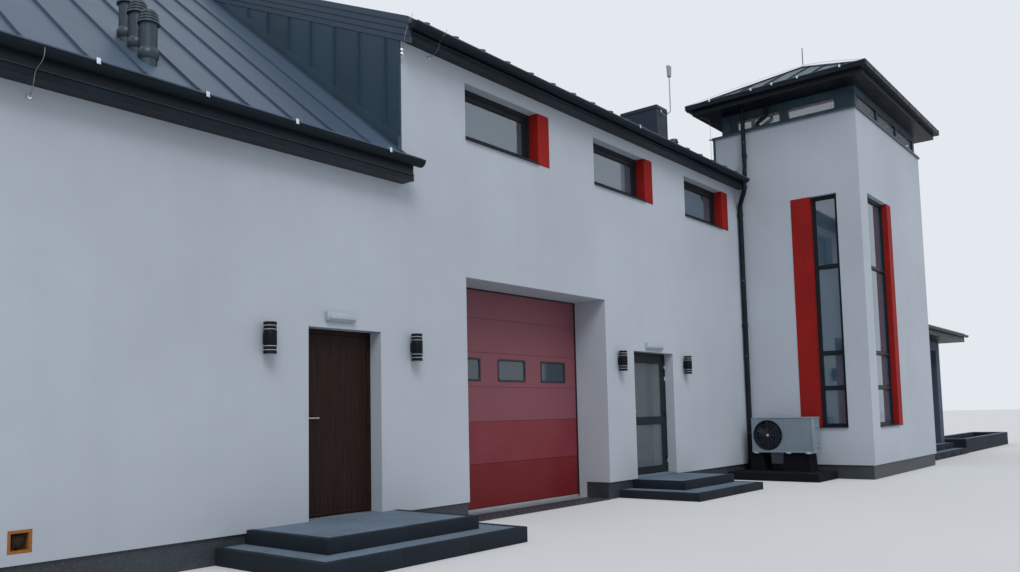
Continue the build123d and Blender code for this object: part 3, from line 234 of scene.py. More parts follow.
def stone_chip_plaster(colours):
    # Resin-bound stone chips: speckled grey, slightly glossy, rough to the touch
    tree, shader, place = start_material("stone_chip_plaster", 0.55)
    # Real chips are 2 mm; they are drawn at 9 mm so that the speckle shows
    chips = add(tree, "ShaderNodeTexVoronoi", {"Vector": place, "Scale": 115})
    grey = add(tree, "ShaderNodeSeparateColor", {"Color": chips.outputs["Color"]})
    tone = add(tree, "ShaderNodeValToRGB", {"Fac": grey.outputs[0]},
               [(0.0, shade(colours.base, 0.6)), (0.6, shade(colours.base, 1.0)),
                (1.0, shade(colours.base, 1.8))])
    # Splashed lime and dust leave paler clouds about a metre wide
    clouds = add(tree, "ShaderNodeTexNoise", {"Vector": place, "Scale": 1.1, "Detail": 5, "Roughness": 0.65})
    stain = add(tree, "ShaderNodeMapRange", {"Value": clouds.outputs["Fac"], "From Min": 0.48,
                                             "From Max": 0.75, "To Min": 0.0, "To Max": 0.45})
    stained = add(tree, "ShaderNodeMix", {0: stain.outputs[0], 6: tone.outputs[0],
                                          7: (*shade(colours.base, 2.6), 1)}, data_type="RGBA")
    tree.links.new(stained.outputs[2], shader.inputs["Base Color"])
    bump = add(tree, "ShaderNodeBump", {"Height": chips.outputs["Distance"], "Strength": 0.3,
                                        "Distance": 0.003})
    tree.links.new(bump.outputs[0], shader.inputs["Normal"])


def cast_concrete(colours):
    # Trowelled concrete: dull, blotched at arm's length, with fine pores
    tree, shader, place = start_material("cast_concrete", 0.85)
    blotches = add(tree, "ShaderNodeTexNoise", {"Vector": place, "Scale": 1.6, "Detail": 6,
                                                "Roughness": 0.65})
    tone = add(tree, "ShaderNodeValToRGB", {"Fac": blotches.outputs["Fac"]},
               [(0.3, shade(colours.concrete, 0.7)), (0.7, shade(colours.concrete, 1.1))])
    tree.links.new(tone.outputs[0], shader.inputs["Base Color"])
    # Pores of 3 mm are drawn at 17 mm
    pores = add(tree, "ShaderNodeTexNoise", {"Vector": place, "Scale": 60, "Detail": 3})
    bump = add(tree, "ShaderNodeBump", {"Height": pores.outputs["Fac"], "Strength": 0.2, "Distance": 0.003})
    tree.links.new(bump.outputs[0], shader.inputs["Normal"])


def coated_sheet(name, tone, roughness, bay, first, slope_axis, eave_trim_and_shade_tone):
    # Polyester-coated steel in bays between seams: satin, each bay a shade of its own, buckled a little
    tree, shader, place = start_material(name, roughness)
    parts = add(tree, "ShaderNodeSeparateXYZ", {"Vector": place})
    moved = add(tree, "ShaderNodeMath", {0: parts.outputs[slope_axis], 1: -first}, operation="ADD")
    counted = add(tree, "ShaderNodeMath", {0: moved.outputs[0], 1: bay}, operation="DIVIDE")
    number = add(tree, "ShaderNodeMath", {0: counted.outputs[0]}, operation="FLOOR")
    lot = add(tree, "ShaderNodeTexWhiteNoise", {"W": number.outputs[0]}, noise_dimensions="1D")
    bays = add(tree, "ShaderNodeValToRGB", {"Fac": lot.outputs["Value"]},
               [(0.0, shade(tone, 0.9)), (1.0, shade(tone, 1.1))])
    film = add(tree, "ShaderNodeTexNoise", {"Vector": place, "Scale": 1.1, "Detail": 5, "Roughness": 0.65})
    dust = add(tree, "ShaderNodeMapRange", {"Value": film.outputs["Fac"], "From Min": 0.5, "From Max": 0.8,
                                            "To Min": 0.0, "To Max": 0.3})
    dusty = add(tree, "ShaderNodeMix", {0: dust.outputs[0], 6: bays.outputs[0],
                                        7: (*shade(tone, 1.35), 1)}, data_type="RGBA")
    # The eave board and the soffit, which face forwards and down, take the darker trim colour, picked by
    # their facing: the trim's own tone, with the shade under the eave painted in
    geometry = add(tree, "ShaderNodeNewGeometry")
    facing = add(tree, "ShaderNodeSeparateXYZ", {"Vector": geometry.outputs["True Normal"]})
    turned = add(tree, "ShaderNodeMath", {0: facing.outputs["Z"], 1: 0.5}, operation="LESS_THAN")
    sideways = add(tree, "ShaderNodeMath", {0: facing.outputs["X"]}, operation="ABSOLUTE")
    flat = add(tree, "ShaderNodeMath", {0: sideways.outputs[0], 1: 0.5}, operation="LESS_THAN")
    eave = add(tree, "ShaderNodeMath", {0: turned.outputs[0], 1: flat.outputs[0]}, operation="MULTIPLY")
    whole = add(tree, "ShaderNodeMix", {0: eave.outputs[0], 6: dusty.outputs[2], 7: (*eave_trim_and_shade_tone, 1)},
                data_type="RGBA")
    shader.inputs["Specular IOR Level"].default_value = 0.3
    tree.links.new(whole.outputs[2], shader.inputs["Base Color"])
    gloss = add(tree, "ShaderNodeMapRange", {"Value": film.outputs["Fac"], "To Min": roughness - 0.08,
                                             "To Max": roughness + 0.14})
    tree.links.new(gloss.outputs[0], shader.inputs["Roughness"])
    # Thin sheet bulges between its seams in waves of about half a metre
    waves = add(tree, "ShaderNodeTexNoise", {"Vector": place, "Scale": 2.0, "Detail": 1})
    bump = add(tree, "ShaderNodeBump", {"Height": waves.outputs["Fac"], "Strength": 0.35, "Distance": 0.02})
    tree.links.new(bump.outputs[0], shader.inputs["Normal"])


def folded_sheet(name, tone, mirror, soffit_shade_tone=None, turn=-0.5):
    # Matt-coated sheet: folded by hand, dusty on top, with a faint hammered wave; its soffit may take a
    # painted shade
    tree, shader, place = start_material(name, 0.4)
    shader.inputs["Specular IOR Level"].default_value = mirror
    film = add(tree, "ShaderNodeTexNoise", {"Vector": place, "Scale": 2.2, "Detail": 5, "Roughness": 0.7})
    tones = add(tree, "ShaderNodeValToRGB", {"Fac": film.outputs["Fac"]},
                [(0.35, shade(tone, 0.75)), (0.75, shade(tone, 1.6))])
    geometry = add(tree, "ShaderNodeNewGeometry")
    facing = add(tree, "ShaderNodeSeparateXYZ", {"Vector": geometry.outputs["True Normal"]})
    # Faces turned further down than turn get the darker colour: painted shade
    shaded_below_mask = add(tree, "ShaderNodeMath", {0: facing.outputs["Z"], 1: turn}, operation="LESS_THAN")
    whole = add(tree, "ShaderNodeMix", {0: shaded_below_mask.outputs[0], 6: tones.outputs[0], 7: (*(soffit_shade_tone or tone), 1)},
                data_type="RGBA")
    tree.links.new(whole.outputs[2], shader.inputs["Base Color"])
    gloss = add(tree, "ShaderNodeMapRange", {"Value": film.outputs["Fac"], "To Min": 0.3, "To Max": 0.55})
    tree.links.new(gloss.outputs[0], shader.inputs["Roughness"])
    # The waves that hand folding leaves are about 140 mm long
    waves = add(tree, "ShaderNodeTexNoise", {"Vector": place, "Scale": 7, "Detail": 1})
    bump = add(tree, "ShaderNodeBump", {"Height": waves.outputs["Fac"], "Strength": 0.2, "Distance": 0.004})
    tree.links.new(bump.outputs[0], shader.inputs["Normal"])


def facade_paint(colours):
    # Masonry paint over the render: the same grain under a denser, slightly sun-bleached red
    tree, shader, place = start_material("facade_paint", 0.75)
    shader.inputs["Specular IOR Level"].default_value = 0.25
    # The sun bleaches it in clouds of about two thirds of a metre; the grain is the render's
    bleach = add(tree, "ShaderNodeTexNoise", {"Vector": place, "Scale": 1.5, "Detail": 4})
    tone = add(tree, "ShaderNodeValToRGB", {"Fac": bleach.outputs["Fac"]},
               [(0.35, shade(colours.red, 0.85)), (0.7, shade(colours.red, 1.12))])
    tree.links.new(tone.outputs[0], shader.inputs["Base Color"])
    grain = add(tree, "ShaderNodeTexNoise", {"Vector": place, "Scale": 48, "Detail": 5, "Roughness": 0.7})
    bump = add(tree, "ShaderNodeBump", {"Height": grain.outputs["Fac"], "Strength": 0.25, "Distance": 0.003})
    tree.links.new(bump.outputs[0], shader.inputs["Normal"])


def foiled_profile(colours):
    # PVC profile under anthracite foil: smooth, with a fine grain along the profile
    tree, shader, place = start_material("foiled_pvc_profile", 0.42)
    shader.inputs["Specular IOR Level"].default_value = 0.15
    # The foil's grain of 0.5 mm is drawn at 18 mm
    grain = add(tree, "ShaderNodeTexNoise", {"Vector": place, "Scale": 55, "Detail": 4, "Roughness": 0.6})
    tone = add(tree, "ShaderNodeValToRGB", {"Fac": grain.outputs["Fac"]},
               [(0.35, shade(colours.profile, 0.85)), (0.7, shade(colours.profile, 1.2))])
    tree.links.new(tone.outputs[0], shader.inputs["Base Color"])
    bump = add(tree, "ShaderNodeBump", {"Height": grain.outputs["Fac"], "Strength": 0.1, "Distance": 0.001})
    tree.links.new(bump.outputs[0], shader.inputs["Normal"])


def insulating_glass(name, tint_and_reflection, roughness, mirror):
    # Insulating glass or clear acrylic; a coated pane mirrors more than plain glass, whose IOR is about 1.5
    tree, shader, place = start_material(name, roughness)
    shader.inputs["IOR"].default_value = mirror
    # A quarter of the base colour stays opaque, so the tint is painted on the panes: partly their own tint,
    # partly a painted reflection of the sky
    shader.inputs["Transmission Weight"].default_value = 0.75
    film = add(tree, "ShaderNodeTexNoise", {"Vector": place, "Scale": 0.9, "Detail": 2})
    tone = add(tree, "ShaderNodeValToRGB", {"Fac": film.outputs["Fac"]},
               [(0.3, shade(tint_and_reflection, 0.85)), (0.7, shade(tint_and_reflection, 1.0))])
    # The lantern's panes, over the tower's wall, are tinted near-white: a painted glow of the sky seen
    # through both sides
    height = add(tree, "ShaderNodeSeparateXYZ", {"Vector": place})
    lantern_sky_glow_mask = add(tree, "ShaderNodeMath", {0: height.outputs["Z"], 1: lantern_foot - 0.002},
               operation="GREATER_THAN")
    whole = add(tree, "ShaderNodeMix", {0: lantern_sky_glow_mask.outputs[0], 6: tone.outputs[0], 7: (*linear("#edf4fc"), 1)},
                data_type="RGBA")
    tree.links.new(whole.outputs[2], shader.inputs["Base Color"])
    # Large panes are never quite flat: the mirror image wavers over a metre
    bow = add(tree, "ShaderNodeBump", {"Height": film.outputs["Fac"], "Strength": 0.05, "Distance": 0.01})
    tree.links.new(bow.outputs[0], shader.inputs["Normal"])


def sectional_door_lacquer(colours):
    # Coil-coated steel panels, stucco embossed: each panel has its own tone, paler with height, a painted
    # reflection of the sky on the satin red
    tree, shader, place = start_material("sectional_door_lacquer", 0.5)
    shader.inputs["Specular IOR Level"].default_value = 0.25
    low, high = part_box("garage_door")
    parts = add(tree, "ShaderNodeSeparateXYZ", {"Vector": place})
    share = add(tree, "ShaderNodeMapRange", {"Value": parts.outputs["Z"], "From Min": low.z,
                                             "From Max": high.z})
    # The two joints where the tone, and with it the painted reflection, changes are 0.67 and 1.28 m over the
    # door's foot
    first_joint, second_joint = (joint / (high.z - low.z) for joint in (0.67, 1.28))
    tones = add(tree, "ShaderNodeValToRGB", {"Fac": share.outputs[0]},
                [(0.0, colours.door_deep), (first_joint, colours.door_half_reflecting_red),
                 (second_joint, colours.door_sky_reflecting_red)])
    tones.color_ramp.interpolation = "CONSTANT"
    dust = add(tree, "ShaderNodeTexNoise", {"Vector": place, "Scale": 1.3, "Detail": 4})
    chalky = add(tree, "ShaderNodeMapRange", {"Value": dust.outputs["Fac"], "From Min": 0.4, "From Max": 0.75,
                                              "To Min": 0.0, "To Max": 0.16})
    tone = add(tree, "ShaderNodeMix", {0: chalky.outputs[0], 6: tones.outputs[0],
                                       7: (*shade(colours.door_sky_reflecting_red, 1.4), 1)}, data_type="RGBA")
    tree.links.new(tone.outputs[2], shader.inputs["Base Color"])
    # The embossing is 3 mm wide; it is drawn at 12 mm to show
    stucco = add(tree, "ShaderNodeTexNoise", {"Vector": place, "Scale": 80, "Detail": 2})
    bump = add(tree, "ShaderNodeBump", {"Height": stucco.outputs["Fac"], "Strength": 0.12, "Distance": 0.002})
    tree.links.new(bump.outputs[0], shader.inputs["Normal"])


def wood_grain_foil(colours):
    # Printed foil pressed on steel: dark brown with upright grain, low sheen
    tree, shader, place = start_material("wood_grain_foil", 0.45)
    shader.inputs["Specular IOR Level"].default_value = 0.1
    # Grain lines run up the door: the real ones are 3 mm apart, they are drawn 14 mm apart and 0.45 m long
    stretched = add(tree, "ShaderNodeMapping", {"Vector": place, "Scale": (45, 45, 1.4)})
    lines = add(tree, "ShaderNodeTexNoise", {"Vector": stretched.outputs[0], "Scale": 1.6, "Detail": 6,
                                             "Distortion": 0.6})
    tone = add(tree, "ShaderNodeValToRGB", {"Fac": lines.outputs["Fac"]},
               [(0.3, shade(colours.brown, 0.55)), (0.72, shade(colours.brown, 1.7))])
    tree.links.new(tone.outputs[0], shader.inputs["Base Color"])
    bump = add(tree, "ShaderNodeBump", {"Height": lines.outputs["Fac"], "Strength": 0.15, "Distance": 0.002})
    tree.links.new(bump.outputs[0], shader.inputs["Normal"])


def powder_coat(name, tone, roughness, mirror=0.4):
    # Powder-coated metal: even and satin, with a very slight orange peel
    tree, shader, place = start_material(name, roughness)
    shader.inputs["Specular IOR Level"].default_value = mirror
    film = add(tree, "ShaderNodeTexNoise", {"Vector": place, "Scale": 3, "Detail": 5, "Roughness": 0.65})
    tones = add(tree, "ShaderNodeValToRGB", {"Fac": film.outputs["Fac"]},
                [(0.35, shade(tone, 0.9)), (0.7, shade(tone, 1.12))])
    tree.links.new(tones.outputs[0], shader.inputs["Base Color"])
    # Orange peel of 2 mm is drawn at 8 mm
    peel = add(tree, "ShaderNodeTexNoise", {"Vector": place, "Scale": 120, "Detail": 1})
    bump = add(tree, "ShaderNodeBump", {"Height": peel.outputs["Fac"], "Strength": 0.08, "Distance": 0.001})
    tree.links.new(bump.outputs[0], shader.inputs["Normal"])


def pump_enamel(colours):
    # Powder-coated steel housing, grey-white; the wire guard and the well behind it are of dark plastic
    tree, shader, place = start_material("pump_housing_enamel", 0.42)
    film = add(tree, "ShaderNodeTexNoise", {"Vector": place, "Scale": 3, "Detail": 5, "Roughness": 0.65})
    pale = add(tree, "ShaderNodeValToRGB", {"Fac": film.outputs["Fac"]},
               [(0.35, shade(colours.pump, 0.9)), (0.7, shade(colours.pump, 1.08))])
    axis = fan_axis()
    flat = add(tree, "ShaderNodeVectorMath", {0: place, 1: (0, 1, 1)}, operation="MULTIPLY")
    away = add(tree, "ShaderNodeVectorMath", {0: flat.outputs[0], 1: (0, axis.y, axis.z)},
               operation="DISTANCE")
    inside = add(tree, "ShaderNodeMath", {0: away.outputs["Value"], 1: guard_radius}, operation="LESS_THAN")
    tone = add(tree, "ShaderNodeMix", {0: inside.outputs[0], 6: pale.outputs[0], 7: (*linear("#262a33"), 1)},
               data_type="RGBA")
    tree.links.new(tone.outputs[2], shader.inputs["Base Color"])
    # Orange peel of 2 mm is drawn at 8 mm
    peel = add(tree, "ShaderNodeTexNoise", {"Vector": place, "Scale": 120, "Detail": 1})
    bump = add(tree, "ShaderNodeBump", {"Height": peel.outputs["Fac"], "Strength": 0.08, "Distance": 0.001})
    tree.links.new(bump.outputs[0], shader.inputs["Normal"])


def lamp_enamel(colours):
    # Black powder coat on the wall lamps; the emergency lights, which hang higher, are of white plastic
    tree, shader, place = start_material("black_lamp_enamel", 0.4)
    shader.inputs["Specular IOR Level"].default_value = 0.15
    film = add(tree, "ShaderNodeTexNoise", {"Vector": place, "Scale": 9, "Detail": 4})
    black = add(tree, "ShaderNodeValToRGB", {"Fac": film.outputs["Fac"]},
                [(0.35, linear("#0c0f14")), (0.7, linear("#161a20"))])
    white = add(tree, "ShaderNodeValToRGB", {"Fac": film.outputs["Fac"]},
                [(0.35, shade(colours.housing, 0.92)), (0.7, shade(colours.housing, 1.05))])
    # The wall lamps end and the emergency lights start below and over 2.44 m
    parts = add(tree, "ShaderNodeSeparateXYZ", {"Vector": place})
    higher = add(tree, "ShaderNodeMath", {0: parts.outputs["Z"], 1: 2.44}, operation="GREATER_THAN")
    tone = add(tree, "ShaderNodeMix", {0: higher.outputs[0], 6: black.outputs[0], 7: white.outputs[0]},
               data_type="RGBA")
    tree.links.new(tone.outputs[2], shader.inputs["Base Color"])
    peel = add(tree, "ShaderNodeBump", {"Height": film.outputs["Fac"], "Strength": 0.08, "Distance": 0.001})
    tree.links.new(peel.outputs[0], shader.inputs["Normal"])


def bare_metal(name, tone, roughness):
    # Drawn or galvanised metal: bright, with brushed or spangled gloss
    tree, shader, place = start_material(name, roughness, 1.0)
    # Zinc spangle of 10 mm is drawn at 40 mm
    film = add(tree, "ShaderNodeTexNoise", {"Vector": place, "Scale": 25, "Detail": 4})
    tones = add(tree, "ShaderNodeValToRGB", {"Fac": film.outputs["Fac"]},
                [(0.3, shade(tone, 0.85)), (0.7, shade(tone, 1.1))])
    tree.links.new(tones.outputs[0], shader.inputs["Base Color"])
    gloss = add(tree, "ShaderNodeMapRange", {"Value": film.outputs["Fac"], "To Min": roughness - 0.1,
                                             "To Max": roughness + 0.15})
    tree.links.new(gloss.outputs[0], shader.inputs["Roughness"])


def pressed_concrete(name, tone, chip_scale):
    # Vibration-pressed concrete ware: coarse pores, grit and wet patches
    tree, shader, place = start_material(name, 0.88)
    shader.inputs["Specular IOR Level"].default_value = 0.3
    patches = add(tree, "ShaderNodeTexNoise", {"Vector": place, "Scale": 1.8, "Detail": 5, "Roughness": 0.7})
    tones = add(tree, "ShaderNodeValToRGB", {"Fac": patches.outputs["Fac"]},
                [(0.3, shade(tone, 0.72)), (0.72, shade(tone, 1.2))])
    # Grit of 4 to 8 mm is drawn at twice its size
    grit = add(tree, "ShaderNodeTexVoronoi", {"Vector": place, "Scale": chip_scale})
    grey = add(tree, "ShaderNodeSeparateColor", {"Color": grit.outputs["Color"]})
    some = add(tree, "ShaderNodeMapRange", {"Value": grey.outputs[0], "From Min": 0.55, "From Max": 1.0,
                                            "To Min": 0.0, "To Max": 0.3})
    speckled = add(tree, "ShaderNodeMix", {0: some.outputs[0], 6: tones.outputs[0],
                                           7: (*shade(tone, 2.0), 1)}, data_type="RGBA")
    tree.links.new(speckled.outputs[2], shader.inputs["Base Color"])
    bump = add(tree, "ShaderNodeBump", {"Height": grit.outputs["Distance"], "Strength": 0.45,
                                        "Distance": 0.004})
    tree.links.new(bump.outputs[0], shader.inputs["Normal"])


def moulded_plastic(name, tone, roughness, grain_scale, mirror=0.4):
    # Moulded plastic, rubber or foam: even colour, a little dust, a fine skin
    tree, shader, place = start_material(name, roughness)
    shader.inputs["Specular IOR Level"].default_value = mirror
    # Dust and a skin's grain of about 1 mm are drawn at 10 to 30 mm
    skin = add(tree, "ShaderNodeTexNoise", {"Vector": place, "Scale": grain_scale, "Detail": 4})
    tones = add(tree, "ShaderNodeValToRGB", {"Fac": skin.outputs["Fac"]},
                [(0.3, shade(tone, 0.85)), (0.7, shade(tone, 1.2))])
    tree.links.new(tones.outputs[0], shader.inputs["Base Color"])
    bump = add(tree, "ShaderNodeBump", {"Height": skin.outputs["Fac"], "Strength": 0.15, "Distance": 0.002})
    tree.links.new(bump.outputs[0], shader.inputs["Normal"])


def mix_finishes(colours):
    """Every finish of the building, by name."""
    seams = at(first_seam, 0, 0).x
    verges = at(0, 0.1, 0).y
    thin_coat_render(colours)
    stone_chip_plaster(colours)
    cast_concrete(colours)
    coated_sheet("coated_roof_sheet", colours.roof, 0.42, seam_pitch, seams, "X", colours.trim)
    coated_sheet("coated_cheek_sheet", colours.cheek, 0.42, 0.5, at(0, 0.25, 0).y, "Y", colours.cheek)
    coated_sheet("coated_chimney_sheet", colours.chimney, 0.4, 0.3, verges, "Y", colours.chimney)
    coated_sheet("coated_verge_sheet", colours.verge, 0.42, 2.0, verges, "Y", colours.verge)
    folded_sheet("folded_trim_sheet", colours.trim, 0.12)
    # On the tower's sheets the faces that turn down take a far darker colour, painted shade under the eaves;
    # on the roof sheet the upright faces too
    folded_sheet("tower_trim_sheet", colours.tower_sheet, 0.2, shade(colours.trim, 0.5))
    folded_sheet("tower_roof_sheet", colours.tower_sheet, 0.2, shade(colours.trim, 0.6), 0.25)
    # Trim sheet three times paler, for the eave folds, gutter straps and pipe bands; on the eave folds the
    # paleness is a painted highlight along the fold
    folded_sheet("pale_highlit_trim_sheet", shade(colours.trim, 3), 0.3)
    folded_sheet("eave_board_sheet", shade(colours.trim, 1.3), 0.12)
    # The rolled gutter edges and coping drips are paler than the dark trim: a painted highlight of the sky
    # along their rims
    folded_sheet("gutter_lip_highlight_sheet", shade(colours.verge, 1.2), 0.5)
    folded_sheet("weathered_roof_sheet", shade(colours.roof, 0.45), 0.3)
    facade_paint(colours)
    foiled_profile(colours)
    insulating_glass("insulating_glass", colours.glass, 0.03, 2.2)
    # The door glass and the vehicle door's lights are tinted darker: painted shade of the dark rooms behind
    # them
    insulating_glass("door_glass", shade(colours.glass, 0.35), 0.05, 1.55)
    insulating_glass("acrylic_light", shade(colours.glass, 0.4), 0.12, 1.7)
    sectional_door_lacquer(colours)
    wood_grain_foil(colours)
    powder_coat("powder_coated_aluminium", colours.door_grey, 0.38, 0.2)
    lamp_enamel(colours)
    pump_enamel(colours)
    powder_coat("pump_panel_enamel", shade(colours.pump, 1.12), 0.42)
    powder_coat("pump_joint_shadow", shade(colours.pump, 0.55), 0.6, 0.2)
    # Pillar colour: partly its own, partly the porch's shade painted in
    powder_coat("pillar_shaded_tone", colours.pillar, 0.8)
    powder_coat("black_sleeve_enamel", linear("#0f1218"), 0.45, 0.12)
    powder_coat("white_hinge_lacquer", linear("#a9b2ba"), 0.35)
    bare_metal("satin_steel", linear("#b4b8bb"), 0.3)
    bare_metal("galvanised_steel", linear("#9aa0a5"), 0.45)
    bare_metal("bright_zinc", colours.clip, 0.35)
    bare_metal("dull_aluminium_wire", linear("#8f979e"), 0.5)
    pressed_concrete("step_slab_concrete", colours.slab, 70)
    pressed_concrete("dyed_kerb_concrete", colours.kerb, 95)
    moulded_plastic("black_polypropylene", linear("#272b34"), 0.5, 60, 0.3)
    moulded_plastic("block_rubber", linear("#0e1116"), 0.85, 90, 0.15)
    # Dark brown: the painted shade inside the open socket
    moulded_plastic("socket_hollow_shade_plastic", linear("#2a1c14"), 0.7, 60, 0.2)
    moulded_plastic("vent_pipe_plastic", colours.vent, 0.38, 30)
    moulded_plastic("expanding_foam", colours.foam, 0.9, 40)
    moulded_plastic("opal_acrylic", linear("#9fa7ae"), 0.3, 50)
    moulded_plastic("sealing_rubber", linear("#0e1012"), 0.7, 90)
    moulded_plastic("grey_door_seal", linear("#8b9298"), 0.7, 60)


node_finishes = {
    "thin_coat_render": ("front_wall_left", "front_wall_garage", "front_wall_right", "front_wall_far",
                         "door_lintels", "front_wall_upper", "rear_wall_lower", "rear_wall_upper",
                         "left_gable_wall", "right_gable_wall", "tower_front_wall", "tower_side_walls",
                         "tower_back_wall", "cheek_walls", "garage_frame"),
    "pillar_shaded_tone": ("porch_pillar",),
    "stone_chip_plaster": ("plinth",),
    "cast_concrete": ("ground_floor", "upper_floor"),
    "coated_roof_sheet": ("front_roof_left", "front_roof_middle", "front_roof_right", "rear_roof_left",
                          "rear_roof_middle", "rear_roof_right"),
    "coated_cheek_sheet": ("cheek_cladding",),
    "coated_verge_sheet": ("roof_verges", "ridge_cap"),
    "folded_trim_sheet": ("gutters", "downpipes", "window_sills", "porch_roof"),
    "tower_trim_sheet": ("tower_lantern",),
    "tower_roof_sheet": ("tower_roof",),
    "coated_chimney_sheet": ("chimney",),
    "facade_paint": ("red_bands",),
    "foiled_pvc_profile": ("window_frames",),
    "insulating_glass": ("window_glass",),
    "door_glass": ("side_door_glass",),
    "acrylic_light": ("garage_door_lights",),
    "sectional_door_lacquer": ("garage_door",),
    "wood_grain_foil": ("office_door_frame", "office_door_leaf"),
    "powder_coated_aluminium": ("side_door_frame", "side_door_leaf", "entrance_door"),
    "satin_steel": ("office_door_handle", "side_door_handle"),
    "step_slab_concrete": ("office_steps", "side_steps", "porch_steps"),
    "dyed_kerb_concrete": ("planter",),
    "black_lamp_enamel": ("wall_lights",),
    "pump_housing_enamel": ("heat_pump_case",),
    "black_polypropylene": ("heat_pump_fan",),
    "block_rubber": ("heat_pump_stand",),
    "vent_pipe_plastic": ("vent_pipes",),
    "expanding_foam": ("wall_socket",),
    "galvanised_steel": ("aerial",),
}


def block_piece(name, low, high, chamfer=0.003):
    """A block between two corners with its edges eased."""
    low, high = Vector(low), Vector(high)
    bpy.ops.object.select_all(action="DESELECT")
    bpy.ops.mesh.primitive_cube_add(size=1, location=(low + high) / 2, scale=high - low)
    piece = bpy.context.object
    piece.name = name
    bpy.ops.object.transform_apply(location=True, rotation=True, scale=True)
    ease_edges(piece, chamfer)
    return piece


def ease_edges(piece, width, segments=2):
    """A small rounding along every sharp edge."""
    modifier = piece.modifiers.new("Eased edges", "BEVEL")
    modifier.width = width
    modifier.segments = segments
    modifier.limit_method = "ANGLE"
    bpy.context.view_layer.objects.active = piece
    bpy.ops.object.modifier_apply(modifier=modifier.name)


def thicken(piece, thickness):
    """Gives an open sheet its thickness, on its inner side."""
    modifier = piece.modifiers.new("Sheet", "SOLIDIFY")
    modifier.thickness = thickness
    modifier.offset = -1
    bpy.context.view_layer.objects.active = piece
    bpy.ops.object.modifier_apply(modifier=modifier.name)


def ring_piece(name, width, height, face, depth, corner_radius=0.0, chamfer=0.002):
    """A frame round a hole, drawn flat on the front with its outer corner at the origin."""
    bpy.ops.object.select_all(action="DESELECT")
    bpy.ops.mesh.primitive_plane_add(size=1, location=(width / 2, 0, height / 2),
                                     rotation=(math.pi / 2, 0, 0))
    piece = bpy.context.object
    piece.name = name
    piece.scale = (width, height, 1)
    bpy.ops.object.transform_apply(location=True, rotation=True, scale=True)
    bpy.ops.object.mode_set(mode="EDIT")
    bpy.ops.mesh.select_all(action="SELECT")
    if corner_radius:
        bpy.ops.mesh.bevel(offset=corner_radius, segments=5, affect="VERTICES")
        bpy.ops.mesh.select_all(action="SELECT")
    bpy.ops.mesh.inset(thickness=face, depth=0)
    bpy.ops.mesh.delete(type="FACE")
    bpy.ops.mesh.select_all(action="SELECT")
    bpy.ops.mesh.extrude_region_move(TRANSFORM_OT_translate={"value": (0, -depth, 0)})
    bpy.ops.mesh.select_all(action="SELECT")
    bpy.ops.mesh.normals_make_consistent(inside=False)
    bpy.ops.object.mode_set(mode="OBJECT")
    ease_edges(piece, chamfer, 1)
    return piece


def bar_piece(name, start, end, width, height, chamfer=0.0015):
    """A straight bar between two points, with its width level and its height square to its length."""
    start, end = Vector(start), Vector(end)
    along = (end - start).normalized()
    side = Vector((0, 0, 1)).cross(along)
    side = side.normalized() if side.length > 0.01 else Vector((0, 1, 0))
    turn = Matrix((along, side, along.cross(side))).transposed().to_4x4()
    bpy.ops.object.select_all(action="DESELECT")
    bpy.ops.mesh.primitive_cube_add(size=1)
    piece = bpy.context.object
    piece.name = name
    piece.matrix_world = (Matrix.Translation((start + end) / 2) @ turn
                          @ Matrix.Diagonal(((end - start).length, width, height, 1)))
    bpy.ops.object.transform_apply(location=True, rotation=True, scale=True)
    ease_edges(piece, chamfer, 1)
    return piece


def wire_piece(name, points, radius, order=2):
    """A round wire through points: straight runs at order 2, bent smoothly at order 3."""
    data = bpy.data.curves.new(name, "CURVE")
    data.dimensions = "3D"
    data.bevel_depth = radius
    data.bevel_resolution = 1
    data.use_fill_caps = True
    spline = data.splines.new("NURBS")
    spline.points.add(len(points) - 1)
    for knot, point in zip(spline.points, points):
        knot.co = (*point, 1)
    spline.order_u = order
    spline.use_endpoint_u = True
    spline.resolution_u = 6
    piece = bpy.data.objects.new(name, data)
    bpy.context.scene.collection.objects.link(piece)
    bpy.ops.object.select_all(action="DESELECT")
    piece.select_set(True)
    bpy.context.view_layer.objects.active = piece
    bpy.ops.object.convert(target="MESH")
    return bpy.context.object


def disc_piece(name, centre, radius, height, axis="Z", chamfer=0.002, sides=32):
    """A short round piece with eased rims."""
    turn = {"X": (0, math.pi / 2, 0), "Y": (math.pi / 2, 0, 0), "Z": (0, 0, 0)}[axis]
    bpy.ops.object.select_all(action="DESELECT")
    bpy.ops.mesh.primitive_cylinder_add(radius=radius, depth=height, location=centre, rotation=turn,
                                        vertices=sides)
    piece = bpy.context.object
    piece.name = name
    bpy.ops.object.transform_apply(location=True, rotation=True, scale=True)
    ease_edges(piece, chamfer)
    return piece


def torus_piece(name, centre, turn, radius, thickness, sides, profile_sides):
    """A closed round ring: sides counts along it, profile_sides round its section."""
    bpy.ops.object.select_all(action="DESELECT")
    bpy.ops.mesh.primitive_torus_add(location=centre, rotation=turn, major_radius=radius,
                                     minor_radius=thickness, major_segments=sides,
                                     minor_segments=profile_sides)
    piece = bpy.context.object
    piece.name = name
    bpy.ops.object.transform_apply(location=True, rotation=True, scale=True)
    return piece


def copy_to(piece, places):
    """Copies of a modelled piece at each place, the first of them included, joined into one."""
    made = []
    for place in places:
        twin = piece.copy()
        twin.data = piece.data.copy()
        twin.data.transform(place)
        if place.determinant() < 0:
            twin.data.flip_normals()
        bpy.context.scene.collection.objects.link(twin)
        made.append(twin)
    name = piece.name
    bpy.data.objects.remove(piece)
    return join(made, name)


